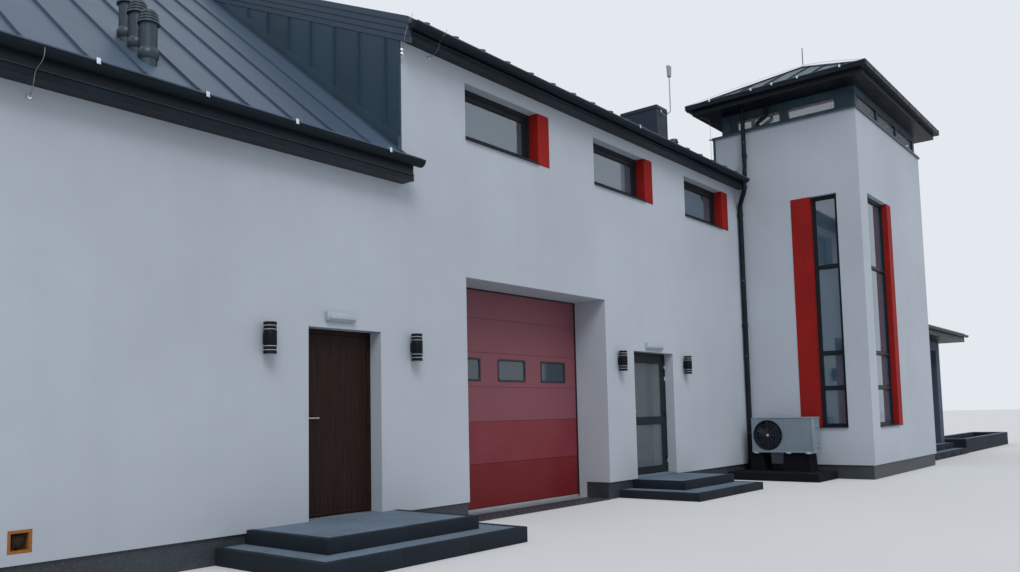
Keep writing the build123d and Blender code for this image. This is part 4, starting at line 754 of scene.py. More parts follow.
def join(pieces, name):
    """Several meshes as one."""
    bpy.ops.object.select_all(action="DESELECT")
    for piece in pieces:
        piece.select_set(True)
    bpy.context.view_layer.objects.active = pieces[0]
    if len(pieces) > 1:
        bpy.ops.object.join()
    pieces[0].name = name
    return pieces[0]


def settle(piece, finish, body="building", smooth=30):
    """Gives a finished piece its material and lets it ride on its body."""
    piece.data.materials.clear()
    piece.data.materials.append(bpy.data.materials[finish])
    bpy.ops.object.select_all(action="DESELECT")
    piece.select_set(True)
    bpy.context.view_layer.objects.active = piece
    bpy.ops.object.shade_smooth_by_angle(angle=math.radians(smooth))
    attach(piece, body)
    return piece


def shift(x, y, z):
    """A move as a matrix, in metres of the frame."""
    return Matrix.Translation((x, y, z))


def rear_mirror():
    """From the front to the same place at the rear."""
    return shift(0, 2 * corner.y + house_depth, 0) @ Matrix.Diagonal((1, -1, 1, 1))


def end_mirror():
    """From the left end to the same place at the right end."""
    return shift(corner.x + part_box("right_gable_wall")[1].x, 0, 0) @ Matrix.Diagonal((-1, 1, 1, 1))


def all_corners():
    """The left end's front, and where it repeats: right end, rear left, rear right."""
    still = Matrix.Identity(4)
    return [still, end_mirror(), rear_mirror(), rear_mirror() @ end_mirror()]


def kerb_run(start, end, inward, height, sizes):
    """Kerb stones from one ground corner to the next, with the tread on their inner side."""
    start, end, inward = Vector(start), Vector(end), Vector(inward)
    run = end - start
    count = max(1, round(run.length / sizes.kerb_length))
    along = run.normalized()
    stone = run.length / count
    stones = []
    for i in range(count):
        first = start + along * (i * stone + sizes.kerb_joint / 2) - inward * sizes.kerb_proud
        last = start + along * ((i + 1) * stone - sizes.kerb_joint / 2) + inward * sizes.kerb_width
        low = [min(first[k], last[k]) for k in range(2)] + [start.z]
        high = [max(first[k], last[k]) for k in range(2)] + [start.z + height + sizes.kerb_proud]
        stones.append(block_piece("stone", low, high, 0.004))
    return stones


def step_kerbs(left, right, front, foot, height, sizes):
    """Kerbs on the two sides and the front of one step, the front run covering both corners."""
    start, end = at(left - sizes.kerb_proud, -front, foot), at(right + sizes.kerb_proud, -front, foot)
    stones = kerb_run(start, end, (0, 1, 0), height, sizes)
    for x, inward in ((left, (1, 0, 0)), (right, (-1, 0, 0))):
        start, end = at(x, sizes.kerb_width - front, foot), at(x, 0.028, foot)
        stones += kerb_run(start, end, inward, height, sizes)
    return stones


class STATION_OT_finishes(bpy.types.Operator):
    """Gives every solid of the frame its finish"""
    bl_idname = "station.finishes"
    bl_label = "Finishes"

    def execute(self, context):
        mix_finishes(context.scene.station_colours)
        for finish, names in node_finishes.items():
            for name in names:
                solid = frame["nodes"][name]
                solid.data.materials.clear()
                solid.data.materials.append(bpy.data.materials[finish])
        return {"FINISHED"}


class STATION_OT_kerbs(bpy.types.Operator):
    """Dark kerb stones round the treads of the steps"""
    bl_idname = "station.kerbs"
    bl_label = "Kerb stones"

    def execute(self, context):
        sizes = context.scene.station_sizes
        stones = []
        # The lower step's height, then how far the upper one is set in: left, right, front
        for name, rise, inset in (("office_steps", 0.162, (0.330, 0.385, 0.368)),
                                  ("side_steps", 0.122, (0.410, 0.160, 0.460))):
            low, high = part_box(name)
            left, right, front = low.x - corner.x, high.x - corner.x, corner.y - low.y
            stones += step_kerbs(left, right, front, 0, rise, sizes)
            stones += step_kerbs(left + inset[0], right - inset[1], front - inset[2], rise, high.z - rise,
                                 sizes)
        rise, tread, gap = 0.15, 0.35, 0.005
        low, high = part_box("porch_steps")
        left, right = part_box("tower_front_wall")[1].x + gap, high.x - gap
        for front, foot in ((low.y, 0), (low.y + tread, rise)):
            stones += kerb_run((left, front, foot), (right, front, foot), (0, 1, 0), rise, sizes)
        settle(join(stones, "step_kerbs"), "dyed_kerb_concrete")
        return {"FINISHED"}


def window_places():
    """Where the standard windows are: a matrix from a window drawn on the front at the origin to each."""
    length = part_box("right_gable_wall")[1].x - corner.x
    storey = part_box("front_wall_upper")
    start, tower = storey[0].x - corner.x, storey[1].x - corner.x
    half = window_width / 2
    first = start + 1.185
    pitch = (tower - 0.852 - window_width - first) / 2
    front = [at(first + i * pitch, 0, high_sill) for i in range(3)]
    bay = (length - 2 * house_wall) / 8
    rear = [at(house_wall + bay * (i + 0.5) - half, 0, low_sill) for i in range(8)]
    bay = (length - 2 * start) / 5
    rear += [at(start + bay * (i + 0.5) - half, 0, high_sill) for i in range(5)]
    places = [shift(*place) for place in front]
    places += [rear_mirror() @ shift(*place) for place in rear]
    # The left gable's windows, each with its twin on the right gable
    turned = shift(*at(0, house_depth, 0)) @ Matrix.Rotation(-math.pi / 2, 4, "Z")
    across = shift(2 * corner.x + length, 0, 0) @ Matrix.Diagonal((-1, 1, 1, 1))
    middle = house_depth / 2
    for y, sill in ((middle - 2.4, low_sill), (middle + 2.4, low_sill), (middle, high_sill)):
        flat = shift(y - half, 0, sill)
        places += [turned @ flat, across @ turned @ flat]
    return places


def beads(name, width, height, inset, plane, face, depth):
    """A glazing bead of one pane, drawn at the origin of its window."""
    bead = ring_piece(name, width - 2 * inset, height - 2 * inset, face, depth, 0, 0.0015)
    bead.data.transform(shift(inset, plane, inset))
    return bead


class STATION_OT_beads(bpy.types.Operator):
    """Glazing beads and rubber lines round the panes, and a small rubber cap on each window's frame"""
    bl_idname = "station.beads"
    bl_label = "Window beads"

    def execute(self, context):
        sizes = context.scene.station_sizes
        # How wide the frame shows, and where the pane's face lies behind the wall's
        face, pane = 0.13, window_plane + 0.036
        places = window_places()
        bead = beads("window_beads", window_width, window_height, face - 0.004, pane, sizes.bead, 0.014)
        settle(copy_to(bead, places), "foiled_pvc_profile")
        inset = face + sizes.bead - 0.006
        line = beads("window_gaskets", window_width, window_height, inset, pane, sizes.gasket, 0.006)
        settle(copy_to(line, places), "sealing_rubber")
        cap_place = (0.10, window_plane + 0.012, 0.10)
        cap = disc_piece("window_joint_caps", cap_place, 0.007, 0.006, "Y", 0.001, 16)
        settle(copy_to(cap, places), "sealing_rubber")
        return {"FINISHED"}


class STATION_OT_door_lights(bpy.types.Operator):
    """Rounded frames round the lights of the vehicle door"""
    bl_idname = "station.door_lights"
    bl_label = "Door light frames"

    def execute(self, context):
        sizes = context.scene.station_sizes
        low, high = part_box("garage_door_lights")
        width, count, corner_radius = 0.665, 3, 0.06
        pitch = (high.x - low.x - width) / (count - 1)
        ring = ring_piece("door_light_frames", width, high.z - low.z, sizes.light_frame, 0.02, corner_radius,
                          0.004)
        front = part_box("garage_door")[0].y
        places = [shift(low.x + i * pitch, front + 0.012, low.z) for i in range(count)]
        settle(copy_to(ring, places), "black_polypropylene")
        return {"FINISHED"}


class STATION_OT_vehicle_door(bpy.types.Operator):
    """Rubber seals round the vehicle door, its pale foot and the drain before it"""
    bl_idname = "station.vehicle_door"
    bl_label = "Vehicle door seals"

    def execute(self, context):
        x0, x1, plane, head, seal = 9.149, 12.516, 0.617, 3.224, 0.02
        start, end, front = x0 + seal, x1 - seal, plane - seal
        seals = [block_piece("seal", at(x0, front, 0.022), at(start, plane, head), 0.004),
                 block_piece("seal", at(end, front, 0.022), at(x1, plane, head), 0.004),
                 block_piece("seal", at(start, front, head - seal), at(end, plane, head), 0.004)]
        settle(join(seals, "door_side_seals"), "sealing_rubber")
        foot = [block_piece("foot", at(start, plane - 0.012, 0.028), at(end, plane, 0.066), 0.005),
                block_piece("lip", at(start, plane - 0.024, 0.022), at(end, plane - 0.002, 0.032), 0.003)]
        settle(join(foot, "door_foot_seal"), "grey_door_seal")
        # The slot before the door: bridges across it, a rail along each side and a dark bed
        near, far, rail, sole = 0.102, 0.132, 0.006, 0.0202
        bar = block_piece("drain_bridges", at(start, near, sole), at(start + 0.08, far, 0.0225), 0.001)
        settle(copy_to(bar, [shift(i * 0.139, 0, 0) for i in range(24)]), "cast_concrete")
        rails = [block_piece("rail", at(x0, y, sole), at(x1, y + rail, 0.0235), 0.001)
                 for y in (near - rail, far)]
        rails.append(block_piece("bed", at(x0, near, 0.0201), at(x1, far, 0.0212), 0.0004))
        settle(join(rails, "drain_slot"), "sealing_rubber")
        return {"FINISHED"}


def emergency_light(left, width):
    """The lens, and the housing's lip, foot and end caps, of one light over a house door."""
    right = left + width
    lens = block_piece("lens", at(left + 0.014, -0.066, 2.497), at(right - 0.014, -0.04, 2.543), 0.009)
    housing = [block_piece("lip", at(left - 0.003, -0.05, 2.555), at(right + 0.003, -0.001, 2.583), 0.006),
               block_piece("foot", at(left, -0.045, 2.477), at(right, -0.001, 2.492), 0.005)]
    housing += [block_piece("cap", at(x, -0.063, 2.48), at(x + 0.016, -0.001, 2.58), 0.007)
                for x in (left - 0.003, right - 0.013)]
    return lens, housing


class STATION_OT_lamps(bpy.types.Operator):
    """Bright rings, sleeves and glass ends on the wall lamps, and the emergency lights' housings"""
    bl_idname = "station.lamps"
    bl_label = "Lamps"

    def execute(self, context):
        sizes = context.scene.station_sizes
        places = [shift(*at(x, -0.088, 0)) for x in (6.023, 8.135, 12.890, 15.162)]
        rings = [disc_piece("ring", (0, 0, z), 0.0685, sizes.ring_height, "Z", 0.001)
                 for z in (2.108, 2.149, 2.322, 2.362)]
        settle(copy_to(join(rings, "lamp_rings"), places), "opal_acrylic")
        sleeve = disc_piece("lamp_sleeves", (0, 0, 2.2355), 0.0695, 0.14, "Z", 0.003)
        settle(copy_to(sleeve, places), "black_sleeve_enamel")
        ends = [disc_piece("end", (0, 0, z), 0.052, 0.005, "Z", 0.001) for z in (2.069, 2.401)]
        settle(copy_to(join(ends, "lamp_glasses"), places), "opal_acrylic")
        lenses, housings = [], []
        for left, width in ((6.800, 0.4), (13.770, 0.54)):
            lens, housing = emergency_light(left, width)
            lenses.append(lens)
            housings += housing
        settle(join(lenses, "emergency_lenses"), "opal_acrylic")
        settle(join(housings, "emergency_housings"), "white_hinge_lacquer")
        return {"FINISHED"}


def door_feet():
    """The sill and the threshold of every house door."""
    sills, thresholds = [], []
    for left, width, plane in doorways.values():
        right = left + width
        sills.append(block_piece("sill", at(left + 0.001, -0.003, 0.262), at(right - 0.001, 0.449, 0.2995),
                                 0.004))
        thresholds.append(block_piece("tread", at(left + 0.004, plane - 0.03, 0.2995),
                                      at(right - 0.004, plane + 0.075, 0.3045), 0.002))
        thresholds.append(block_piece("rib", at(left + 0.056, plane + 0.012, 0.304),
                                      at(right - 0.056, plane + 0.022, 0.3065), 0.001))
    settle(join(sills, "door_sills"), "step_slab_concrete")
    settle(join(thresholds, "door_thresholds"), "satin_steel")


def leaf_fittings(body, finish):
    """Lock, keyhole and drip rail of a door that turns; they ride on its leaf."""
    left, width, plane = doorways[body]
    start, end, front = left + door_frame, left + width - door_frame, plane - 0.006
    x = start + 0.048
    lock = [disc_piece("lock", at(x, front - 0.003, 1.292), 0.0125, 0.012, "Y", 0.002, 24)]
    lock += [disc_piece("screw", at(x, front - 0.001, z), 0.004, 0.004, "Y", 0.001, 12)
             for z in (1.268, 1.466)]
    lock.append(disc_piece("rose", at(x, front - 0.004, 1.4), 0.016, 0.01, "Y", 0.002, 24))
    settle(join(lock, body + "_lock"), "satin_steel", body)
    slit = block_piece(body + "_keyhole", at(x - 0.0015, front - 0.0105, 1.286),
                       at(x + 0.0015, front - 0.006, 1.298), 0.0005)
    settle(slit, "sealing_rubber", body)
    x0, x1 = start + 0.02, end - 0.02
    rail = [block_piece("rail", at(x0, plane - 0.016, 0.322), at(x1, plane, 0.352), 0.007),
            block_piece("brush", at(x0, plane - 0.006, 0.311), at(x1, plane - 0.001, 0.324), 0.001)]
    settle(join(rail, body + "_drip_rail"), finish, body)


class STATION_OT_house_doors(bpy.types.Operator):
    """Sills, thresholds, locks, glazing beads, drip rails and hinge covers of the house doors"""
    bl_idname = "station.house_doors"
    bl_label = "House doors"

    def execute(self, context):
        door_feet()
        leaf_fittings("office_door", "wood_grain_foil")
        leaf_fittings("side_door", "powder_coated_aluminium")
        left, width, plane = doorways["side_door"]
        stile = 0.11
        start, end = left + door_frame + stile, left + width - door_frame - stile
        panes = []
        for low, high in ((0.418, 1.176), (1.286, 2.259)):
            bead = ring_piece("bead", end - start, high - low, 0.014, 0.008, 0, 0.0015)
            bead.data.transform(shift(*at(start, plane + 0.0105, low)))
            panes.append(bead)
        settle(join(panes, "side_door_beads"), "powder_coated_aluminium", "side_door")
        covers = []
        for z in (0.515, 1.98, 2.18):
            covers.append(block_piece("cover", at(14.690, 0.157, z - 0.035), at(14.726, 0.1695, z + 0.035),
                                      0.004))
            covers.append(disc_piece("pin", at(14.708, 0.156, z), 0.009, 0.004, "Y", 0.001, 16))
        settle(join(covers, "hinge_covers"), "white_hinge_lacquer")
        return {"FINISHED"}


def zinc_clip(sizes):
    """A folded clip over a gutter's outer edge, at the origin and facing the front."""
    half = sizes.clip_width / 2
    plate = block_piece("plate", (-half, -0.014, -0.03), (half, -0.008, 0.02), 0.002)
    strap = block_piece("strap", (-half, -0.014, 0.014), (half, 0.05, 0.02), 0.002)
    curl = disc_piece("curl", (0, -0.011, -0.03), 0.007, 2 * half, "X", 0.001, 12)
    screw = disc_piece("screw", (0, -0.016, 0.0), 0.006, 0.004, "Y", 0.001, 10)
    return join([plate, strap, curl, screw], "gutter_clips")


class STATION_OT_eaves(bpy.types.Operator):
    """Folded eave boards, rolled gutter edges and zinc clips"""
    bl_idname = "station.eaves"
    bl_label = "Eaves"

    def execute(self, context):
        sizes = context.scene.station_sizes
        here, rear = [Matrix.Identity(4)], [rear_mirror()]
        boards, folds, lips = [], [], []
        face, back = -0.209, -0.199
        # Left end, right end, foot and height of the board, places
        for x0, x1, foot, height, places in ((0.0, storey_left, low_eave, 0.066, all_corners()),
                                             (storey_left, tower_left, high_eave, 0.036, here),
                                             (storey_left, tower_right, high_eave, 0.036, rear)):
            top = foot + height
            board = [block_piece("board", at(x0, face, foot - 0.002), at(x1, back, top), 0.002),
                     block_piece("drip", at(x0, face - 0.005, foot - 0.006), at(x1, back, foot + 0.003),
                                 0.002)]
            boards.append(copy_to(join(board, "board"), places))
            fold = block_piece("fold", at(x0, face - 0.014, top + 0.002), at(x1, back, top + 0.012), 0.004)
            folds.append(copy_to(fold, places))
        end = 0.06
        for x0, x1, rim, places in ((-end, storey_left, low_rim, all_corners()),
                                    (storey_left - end, tower_left - 0.2, high_rim, here),
                                    (storey_left - end, tower_right + end, high_rim, rear)):
            line = [at(x, gutter_face, rim - 0.003) for x in (x0, x1)]
            lips.append(copy_to(wire_piece("lip", line, sizes.lip), places))
        settle(join(boards, "eave_boards"), "eave_board_sheet")
        settle(join(folds, "eave_folds"), "pale_highlit_trim_sheet")
        settle(join(lips, "gutter_lips"), "gutter_lip_highlight_sheet")
        low_places = [shift(*at(x, gutter_face, low_rim))
                      for x in (0.99, 2.02, 3.05, 4.088, 5.122, 6.153, 7.471)]
        places = [end_move @ place for end_move in all_corners() for place in low_places]
        places.append(shift(*at(13.226, gutter_face, high_rim)))
        # On the tower's left gutter, which runs into the building
        places += [shift(*at(tower_rim[0], y, tower_rim[4])) @ Matrix.Rotation(-math.pi / 2, 4, "Z")
                   for y in (0.325, -0.607, -1.054, -1.584, -2.419)]
        settle(copy_to(zinc_clip(sizes), places), "bright_zinc")
        return {"FINISHED"}


class STATION_OT_seams(bpy.types.Operator):
    """The folded tops of the standing seams and their closed heads at the eaves"""
    bl_idname = "station.seams"
    bl_label = "Seam folds"

    def execute(self, context):
        width = context.scene.station_sizes.fold
        here, rear = [Matrix.Identity(4)], [rear_mirror()]
        eave, ridge, top = -0.2, 5.03, 0.03
        beside_tower = first_seam + 18 * seam_pitch
        folds, heads = [], []
        # First seam, count, height of the sheet over the wall's face, rise, foot of the seam, places
        for first, count, sheet, rise, foot, places in (
                (first_seam, 15, low_sheet, low_rise, eave, all_corners()),
                (storey_left + first_seam, 18, high_sheet, high_rise, eave, here),
                (storey_left + beside_tower, 9, high_sheet, high_rise, 0.56, here),
                (storey_left + first_seam, 27, high_sheet, high_rise, eave, rear)):
            x = first + 0.006
            ends = [at(x, y, sheet + rise * y + top) for y in (foot, ridge)]
            seam = bar_piece("seam", *ends, width, 0.010, 0.003)
            row = [place @ shift(i * seam_pitch, 0, 0) for place in places for i in range(count)]
            folds.append(copy_to(seam, row))
            if foot > eave:
                continue
            ends = [at(x, y, sheet + rise * y + 0.013) for y in (-0.207, -0.12)]
            heads.append(copy_to(bar_piece("head", *ends, 0.024, 0.05, 0.006), row))
        settle(join(folds, "seam_folds"), "weathered_roof_sheet")
        settle(join(heads, "seam_heads"), "weathered_roof_sheet")
        return {"FINISHED"}


class STATION_OT_conductor(bpy.types.Operator):
    """Lightning-conductor wire over the gutters and down the tower, with its holders"""
    bl_idname = "station.conductor"
    bl_label = "Lightning conductor"

    def execute(self, context):
        wire = context.scene.station_sizes.wire
        runs = [
            # Over the gutter at the left end, down to a holder on the wall
            [(3.67, -0.22, 4.55), (3.655, -0.372, 4.505), (3.647, -0.372, 4.36), (3.636, -0.226, 4.31),
             (3.635, -0.214, 4.19), (3.66, -0.09, 4.14), (3.68, -0.012, 4.147)],
            # Down the raised storey's corner
            [(8.03, -0.19, 6.40), (8.0, -0.215, 6.36), (7.925, -0.16, 6.12), (7.93, -0.142, 6.0),
             (7.965, -0.06, 5.95), (7.965, -0.03, 5.84)],
            # Over the gutter of the raised storey
            [(8.60, -0.22, 6.38), (8.46, -0.372, 6.26), (8.40, -0.372, 6.19), (8.448, -0.226, 6.12),
             (8.464, -0.214, 6.05), (8.49, -0.012, 6.02)],
            # From the roof up past the coping to the tower's soffit and over its gutter
            [(17.88, 0.56, 6.72), (17.88, 0.56, 7.45), (17.88, 0.57, 7.796), (17.70, 0.72, 7.796),
             (17.42, 0.90, 7.88), (17.39, 0.925, 8.03), (17.50, 0.81, 8.06), (18.45, -0.08, 8.585),
             (19.437, -0.998, 9.05)],
            # Down the front left hip
            [(19.437, -0.998, 9.05), (18.45, -1.915, 8.585), (17.53, -2.77, 8.075), (17.42, -2.88, 8.03)],
        ]
        wires = [wire_piece("run", [at(*point) for point in run], wire, 3) for run in runs]
        # Spare wire is wound up at the raised storey's right end
        for tilt, size in ((0.2, 0.075), (0.75, 0.06), (-0.4, 0.05)):
            coil_turn = (math.pi / 2, 0.3, tilt)
            wires.append(torus_piece("coil", at(17.30, -0.3, 6.335), coil_turn, size, wire, 28, 6))
        settle(join(wires, "conductor_wires"), "dull_aluminium_wire")
        holders = []
        for x, y, z in ((3.68, -0.012, 4.147), (8.49, -0.012, 6.02)):
            holders.append(disc_piece("base", at(x, y, z), 0.02, 0.022, "Y", 0.003, 20))
        for z in (5.94, 5.893):
            holders.append(disc_piece("bead", at(7.965, -0.058, z), 0.023, 0.032, "Z", 0.006, 20))
        holders.append(disc_piece("ring", at(17.875, 0.56, 7.31), 0.034, 0.03, "Z", 0.006, 20))
        holders.append(disc_piece("foot", at(19.437, -0.998, 9.02), 0.03, 0.05, "Z", 0.008, 20))
        settle(join(holders, "conductor_holders"), "bright_zinc")
        return {"FINISHED"}


def tower_straps():
    """Straps over the tower's gutter on its front, rear and right side."""
    strap = [block_piece("face", (-0.016, -0.007, -0.112), (0.016, 0.001, 0.006), 0.002),
             block_piece("top", (-0.016, -0.007, 0.0), (0.016, 0.13, 0.008), 0.002)]
    left, right, front, rear, rim = tower_rim
    level, along = rim + 0.002, [left + 0.11 + 0.5046 * i for i in range(12)]
    places = [shift(*at(x, front, level)) for x in along]
    places += [shift(*at(x, rear, level)) @ Matrix.Rotation(math.pi, 4, "Z") for x in along]
    places += [shift(*at(right, front + 0.211 + 0.48 * i, level)) @ Matrix.Rotation(math.pi / 2, 4, "Z")
               for i in range(8)]
    settle(copy_to(join(strap, "gutter_straps"), places), "pale_highlit_trim_sheet")


def outline_places(left, right, front, rear, level):
    """The corners of a level rectangle, in order and back to the first."""
    corners = ((left, front), (right, front), (right, rear), (left, rear), (left, front))
    return [at(x, y, level) for x, y in corners]


def tower_panes():
    """Glazing beads of the tower's two tall windows, each with four panes."""
    panes = []
    front = shift(*at(18.392, tower_front, 0))
    side = shift(*at(tower_left, 0, 0)) @ Matrix.Rotation(-math.pi / 2, 4, "Z") @ shift(1.511, 0, 0)
    frame = 0.065
    for width, place in ((1.32, front), (0.543, side)):
        for foot, head in ((1.059, 1.747), (1.807, 2.444), (2.504, 4.186), (4.246, 5.599)):
            bead = ring_piece("bead", width - 2 * frame, head - foot, 0.016, 0.012, 0, 0.0015)
            bead.data.transform(place @ shift(frame, 0.136, foot))
            panes.append(bead)
    settle(join(panes, "tower_window_beads"), "foiled_pvc_profile")


class STATION_OT_tower_trim(bpy.types.Operator):
    """The tower's gutter edge and straps, coping drips, lantern ribs and corner trim"""
    bl_idname = "station.tower_trim"
    bl_label = "Tower trim"

    def execute(self, context):
        rim = outline_places(*tower_rim)
        lip = context.scene.station_sizes.lip
        lips = [wire_piece("lip", ends, lip) for ends in zip(rim, rim[1:])]
        settle(join(lips, "tower_gutter_lips"), "gutter_lip_highlight_sheet")
        tower_straps()
        out = 0.03
        coping = outline_places(tower_left - out, tower_right + out, tower_front - out, 0.545, 7.298)
        drips = [bar_piece("drip", *ends, 0.006, 0.016, 0.002) for ends in zip(coping, coping[1:])]
        settle(join(drips, "coping_drips"), "gutter_lip_highlight_sheet")
        foot, head = 6.62, 7.297
        trim = [block_piece("edge", at(17.908, 0.47, foot), at(17.921, 0.519, head), 0.003),
                block_piece("return", at(17.908, 0.513, foot), at(17.965, 0.524, head), 0.003)]
        settle(join(trim, "tower_corner_trim"), "tower_trim_sheet")
        # On the lantern's left side: three raised ribs and, flatter, the joints between its sheets
        ribs = []
        for y in (0.164, 0.097, 0.033):
            ribs.append(block_piece("rib", at(18.045, y - 0.006, lantern_foot),
                                    at(18.066, y + 0.006, lantern_head), 0.002))
        for y in (-1.02, -1.005, -2.12, -2.40):
            ribs.append(block_piece("joint", at(18.060, y - 0.004, lantern_foot),
                                    at(18.0665, y + 0.004, lantern_head), 0.001))
        settle(join(ribs, "lantern_ribs"), "tower_trim_sheet")
        tower_panes()
        return {"FINISHED"}


# The heat pump's case: outer face, face to the building, near end, far end, foot and top
pump_case = (17.45, 17.787, -1.535, -0.27, 0.52, 1.208)


def pump_sheets():
    """The case's lid, skirt, end panel and grip, and the shadow joints between its sheets."""
    x0, x1, y0, y1, z0, z1 = pump_case
    lid = [block_piece("lid", at(x0 - 0.007, y0 - 0.007, z1 - 0.016), at(x1 + 0.007, y1 + 0.007, z1 + 0.008),
                       0.007),
           block_piece("skirt", at(x0 - 0.004, y0 - 0.004, z0 - 0.002),
                       at(x1 + 0.004, y1 + 0.004, z0 + 0.028), 0.004),
           block_piece("end_panel", at(x0 - 0.004, y0 - 0.005, z0 + 0.034),
                       at(x0 + 0.012, y0 + 0.05, z1 - 0.022), 0.006),
           block_piece("handle", at(x0 + 0.09, y0 - 0.012, 1.02), at(x0 + 0.24, y0 + 0.002, 1.06), 0.005)]
    settle(join(lid, "pump_lid"), "pump_panel_enamel")
    front, back, foot, head = x0 - 0.0015, x0 + 0.002, z0 + 0.03, z1 - 0.018
    joints = [block_piece("joint", at(front, -0.935, foot), at(back, -0.930, head), 0.0005),
              block_piece("joint", at(front, y0 + 0.06, foot), at(back, y0 + 0.064, head), 0.0005),
              block_piece("joint", at(x0 - 0.003, y0 - 0.003, z1 - 0.021),
                          at(x1 + 0.003, y1 + 0.003, z1 - 0.017), 0.0005)]
    settle(join(joints, "pump_joints"), "pump_joint_shadow")


def pump_feet():
    """Bright feet with a bolt each."""
    x0, x1, foot = pump_case[0], pump_case[1], pump_case[4]
    feet = []
    for y in (-0.355, -1.021, -1.409):
        feet.append(block_piece("foot", at(x0 - 0.02, y - 0.045, foot - 0.022),
                                at(x1 + 0.02, y + 0.045, foot + 0.002), 0.004))
        feet.append(disc_piece("bolt", at(x0 - 0.006, y, foot + 0.004), 0.011, 0.012, "Z", 0.002, 6))
    settle(join(feet, "pump_feet"), "bright_zinc")


def pump_fan_well():
    """The dark well that the fan turns in, the rim of its guard, and the guard's plain boss."""
    face = pump_case[0]
    axis = fan_axis()

    def on_axis(behind):
        return Vector((at(face + behind, 0, 0).x, axis.y, axis.z))

    turn = (0, math.pi / 2, 0)
    bpy.ops.object.select_all(action="DESELECT")
    bpy.ops.mesh.primitive_cylinder_add(radius=0.2885, depth=0.158, location=on_axis(0.091), rotation=turn,
                                        vertices=64, end_fill_type="NOTHING")
    well = bpy.context.object
    bpy.ops.object.transform_apply(location=True, rotation=True, scale=True)
    thicken(well, 0.003)
    back = disc_piece("back", on_axis(0.167), 0.288, 0.004, "X", 0.001, 64)
    settle(join([well, back], "pump_well"), "black_polypropylene")
    rim = torus_piece("pump_guard_rim", on_axis(0.001), turn, 0.298, 0.008, 72, 8)
    settle(rim, "black_polypropylene")
    boss = [disc_piece("plate", on_axis(-0.001), 0.024, 0.012, "X", 0.003, 32),
            disc_piece("button", on_axis(-0.008), 0.014, 0.008, "X", 0.003, 24)]
    settle(join(boss, "pump_guard_boss"), "bright_zinc")


class STATION_OT_heat_pump(bpy.types.Operator):
    """The heat pump's lid, joints, feet, valves, well and the bare boss of its guard"""
    bl_idname = "station.heat_pump"
    bl_label = "Heat pump"

    def execute(self, context):
        pump_sheets()
        pump_feet()
        pump_fan_well()
        x, end = pump_case[0] + 0.2, pump_case[2]
        ports = ((0.62, 0.016), (0.70, 0.012))
        valves = [disc_piece("valve", at(x, end - 0.016, z), radius, 0.04, "Y", 0.003, 6)
                  for z, radius in ports]
        valves += [disc_piece("cap", at(x, end - 0.042, z), 0.010, 0.02, "Y", 0.003, 16)
                   for z, radius in ports]
        settle(join(valves, "pump_valves"), "satin_steel")
        return {"FINISHED"}


class STATION_OT_chimney_trim(bpy.types.Operator):
    """Seams, drip edge, flashing and the wire clip of the chimney's sheet"""
    bl_idname = "station.chimney_trim"
    bl_label = "Chimney trim"

    def execute(self, context):
        x0, x1, y0, y1, top = 18.114, 18.600, 2.0, 2.976, 8.46

        def upright(name, x, y, half_width, half_depth, chamfer):
            low = at(x - half_width, y - half_depth, high_sheet + high_rise * y)
            return block_piece(name, low, at(x + half_width, y + half_depth, top), chamfer)

        seams = [upright("seam", x, y, 0.006, 0.005, 0.002) for y in (2.34, 2.66) for x in (x0, x1)]
        seams += [upright("edge", x, y, 0.007, 0.007, 0.003) for y in (y0, y1) for x in (x0, x1)]
        out, inset = 0.014, 0.03
        seams.append(block_piece("drip", at(x0 - out, y0 - out, top - 0.004),
                                 at(x1 + out, y1 + out, top + 0.012), 0.004))
        seams.append(block_piece("lid", at(x0 + inset, y0 + inset, 8.54), at(x1 - inset, y1 - inset, 8.556),
                                 0.006))
        # The flashing lies on the slope, its middle 75 mm over the sheet
        for x in (x0 - 0.004, x1 + 0.004):
            start = at(x, y0 - 0.01, high_sheet + high_rise * y0 + 0.075)
            end = at(x, y1 + 0.01, high_sheet + high_rise * y1 + 0.075)
            seams.append(bar_piece("flashing", start, end, 0.01, 0.15, 0.002))
        settle(join(seams, "chimney_seams"), "coated_chimney_sheet")
        bend = [(18.28, 1.992, 8.44), (18.25, 1.955, 8.40), (18.30, 1.955, 8.35), (18.40, 1.955, 8.34),
                (18.417, 1.992, 8.36)]
        settle(wire_piece("chimney_clip", [at(*point) for point in bend], 0.014, 3), "bright_zinc")
        return {"FINISHED"}


class STATION_OT_fixings(bpy.types.Operator):
    """Pipe bands on the downpipes, and a dark brown box in the open socket, which paints in the shade of its
    hollow
    """
    bl_idname = "station.fixings"
    bl_label = "Pipe bands and socket"

    def execute(self, context):
        bands = []
        for z in (0.9, 2.5, 4.1):
            bands.append(disc_piece("band", at(17.83, -0.07, z), 0.056, 0.03, "Z", 0.003))
            bands.append(block_piece("lug", at(17.76, -0.08, z - 0.012), at(17.80, -0.06, z + 0.012), 0.003))
        bands.append(disc_piece("band", at(17.825, -0.215, 7.05), 0.051, 0.03, "Z", 0.003))
        bands.append(disc_piece("socket_end", at(17.97, -0.48, 7.365), 0.047, 0.05, "Z", 0.006))
        settle(join(bands, "pipe_bands"), "pale_highlit_trim_sheet")
        # A dark brown box with a cover and gland, its colour a painted shade of the socket's hollow
        fitting = [block_piece("box", at(3.655, 0.03, 0.405), at(3.755, 0.083, 0.505), 0.006),
                   disc_piece("cover", at(3.705, 0.026, 0.455), 0.036, 0.012, "Y", 0.003, 24),
                   disc_piece("gland", at(3.705, 0.055, 0.398), 0.012, 0.02, "Z", 0.002, 12)]
        settle(join(fitting, "socket_shade_box"), "socket_hollow_shade_plastic")
        return {"FINISHED"}


# The porch roof: left and right side, front edge, height of its eave and rise towards the wall
porch = (tower_right, 28.55, 2.1, 3.41, 0.30)


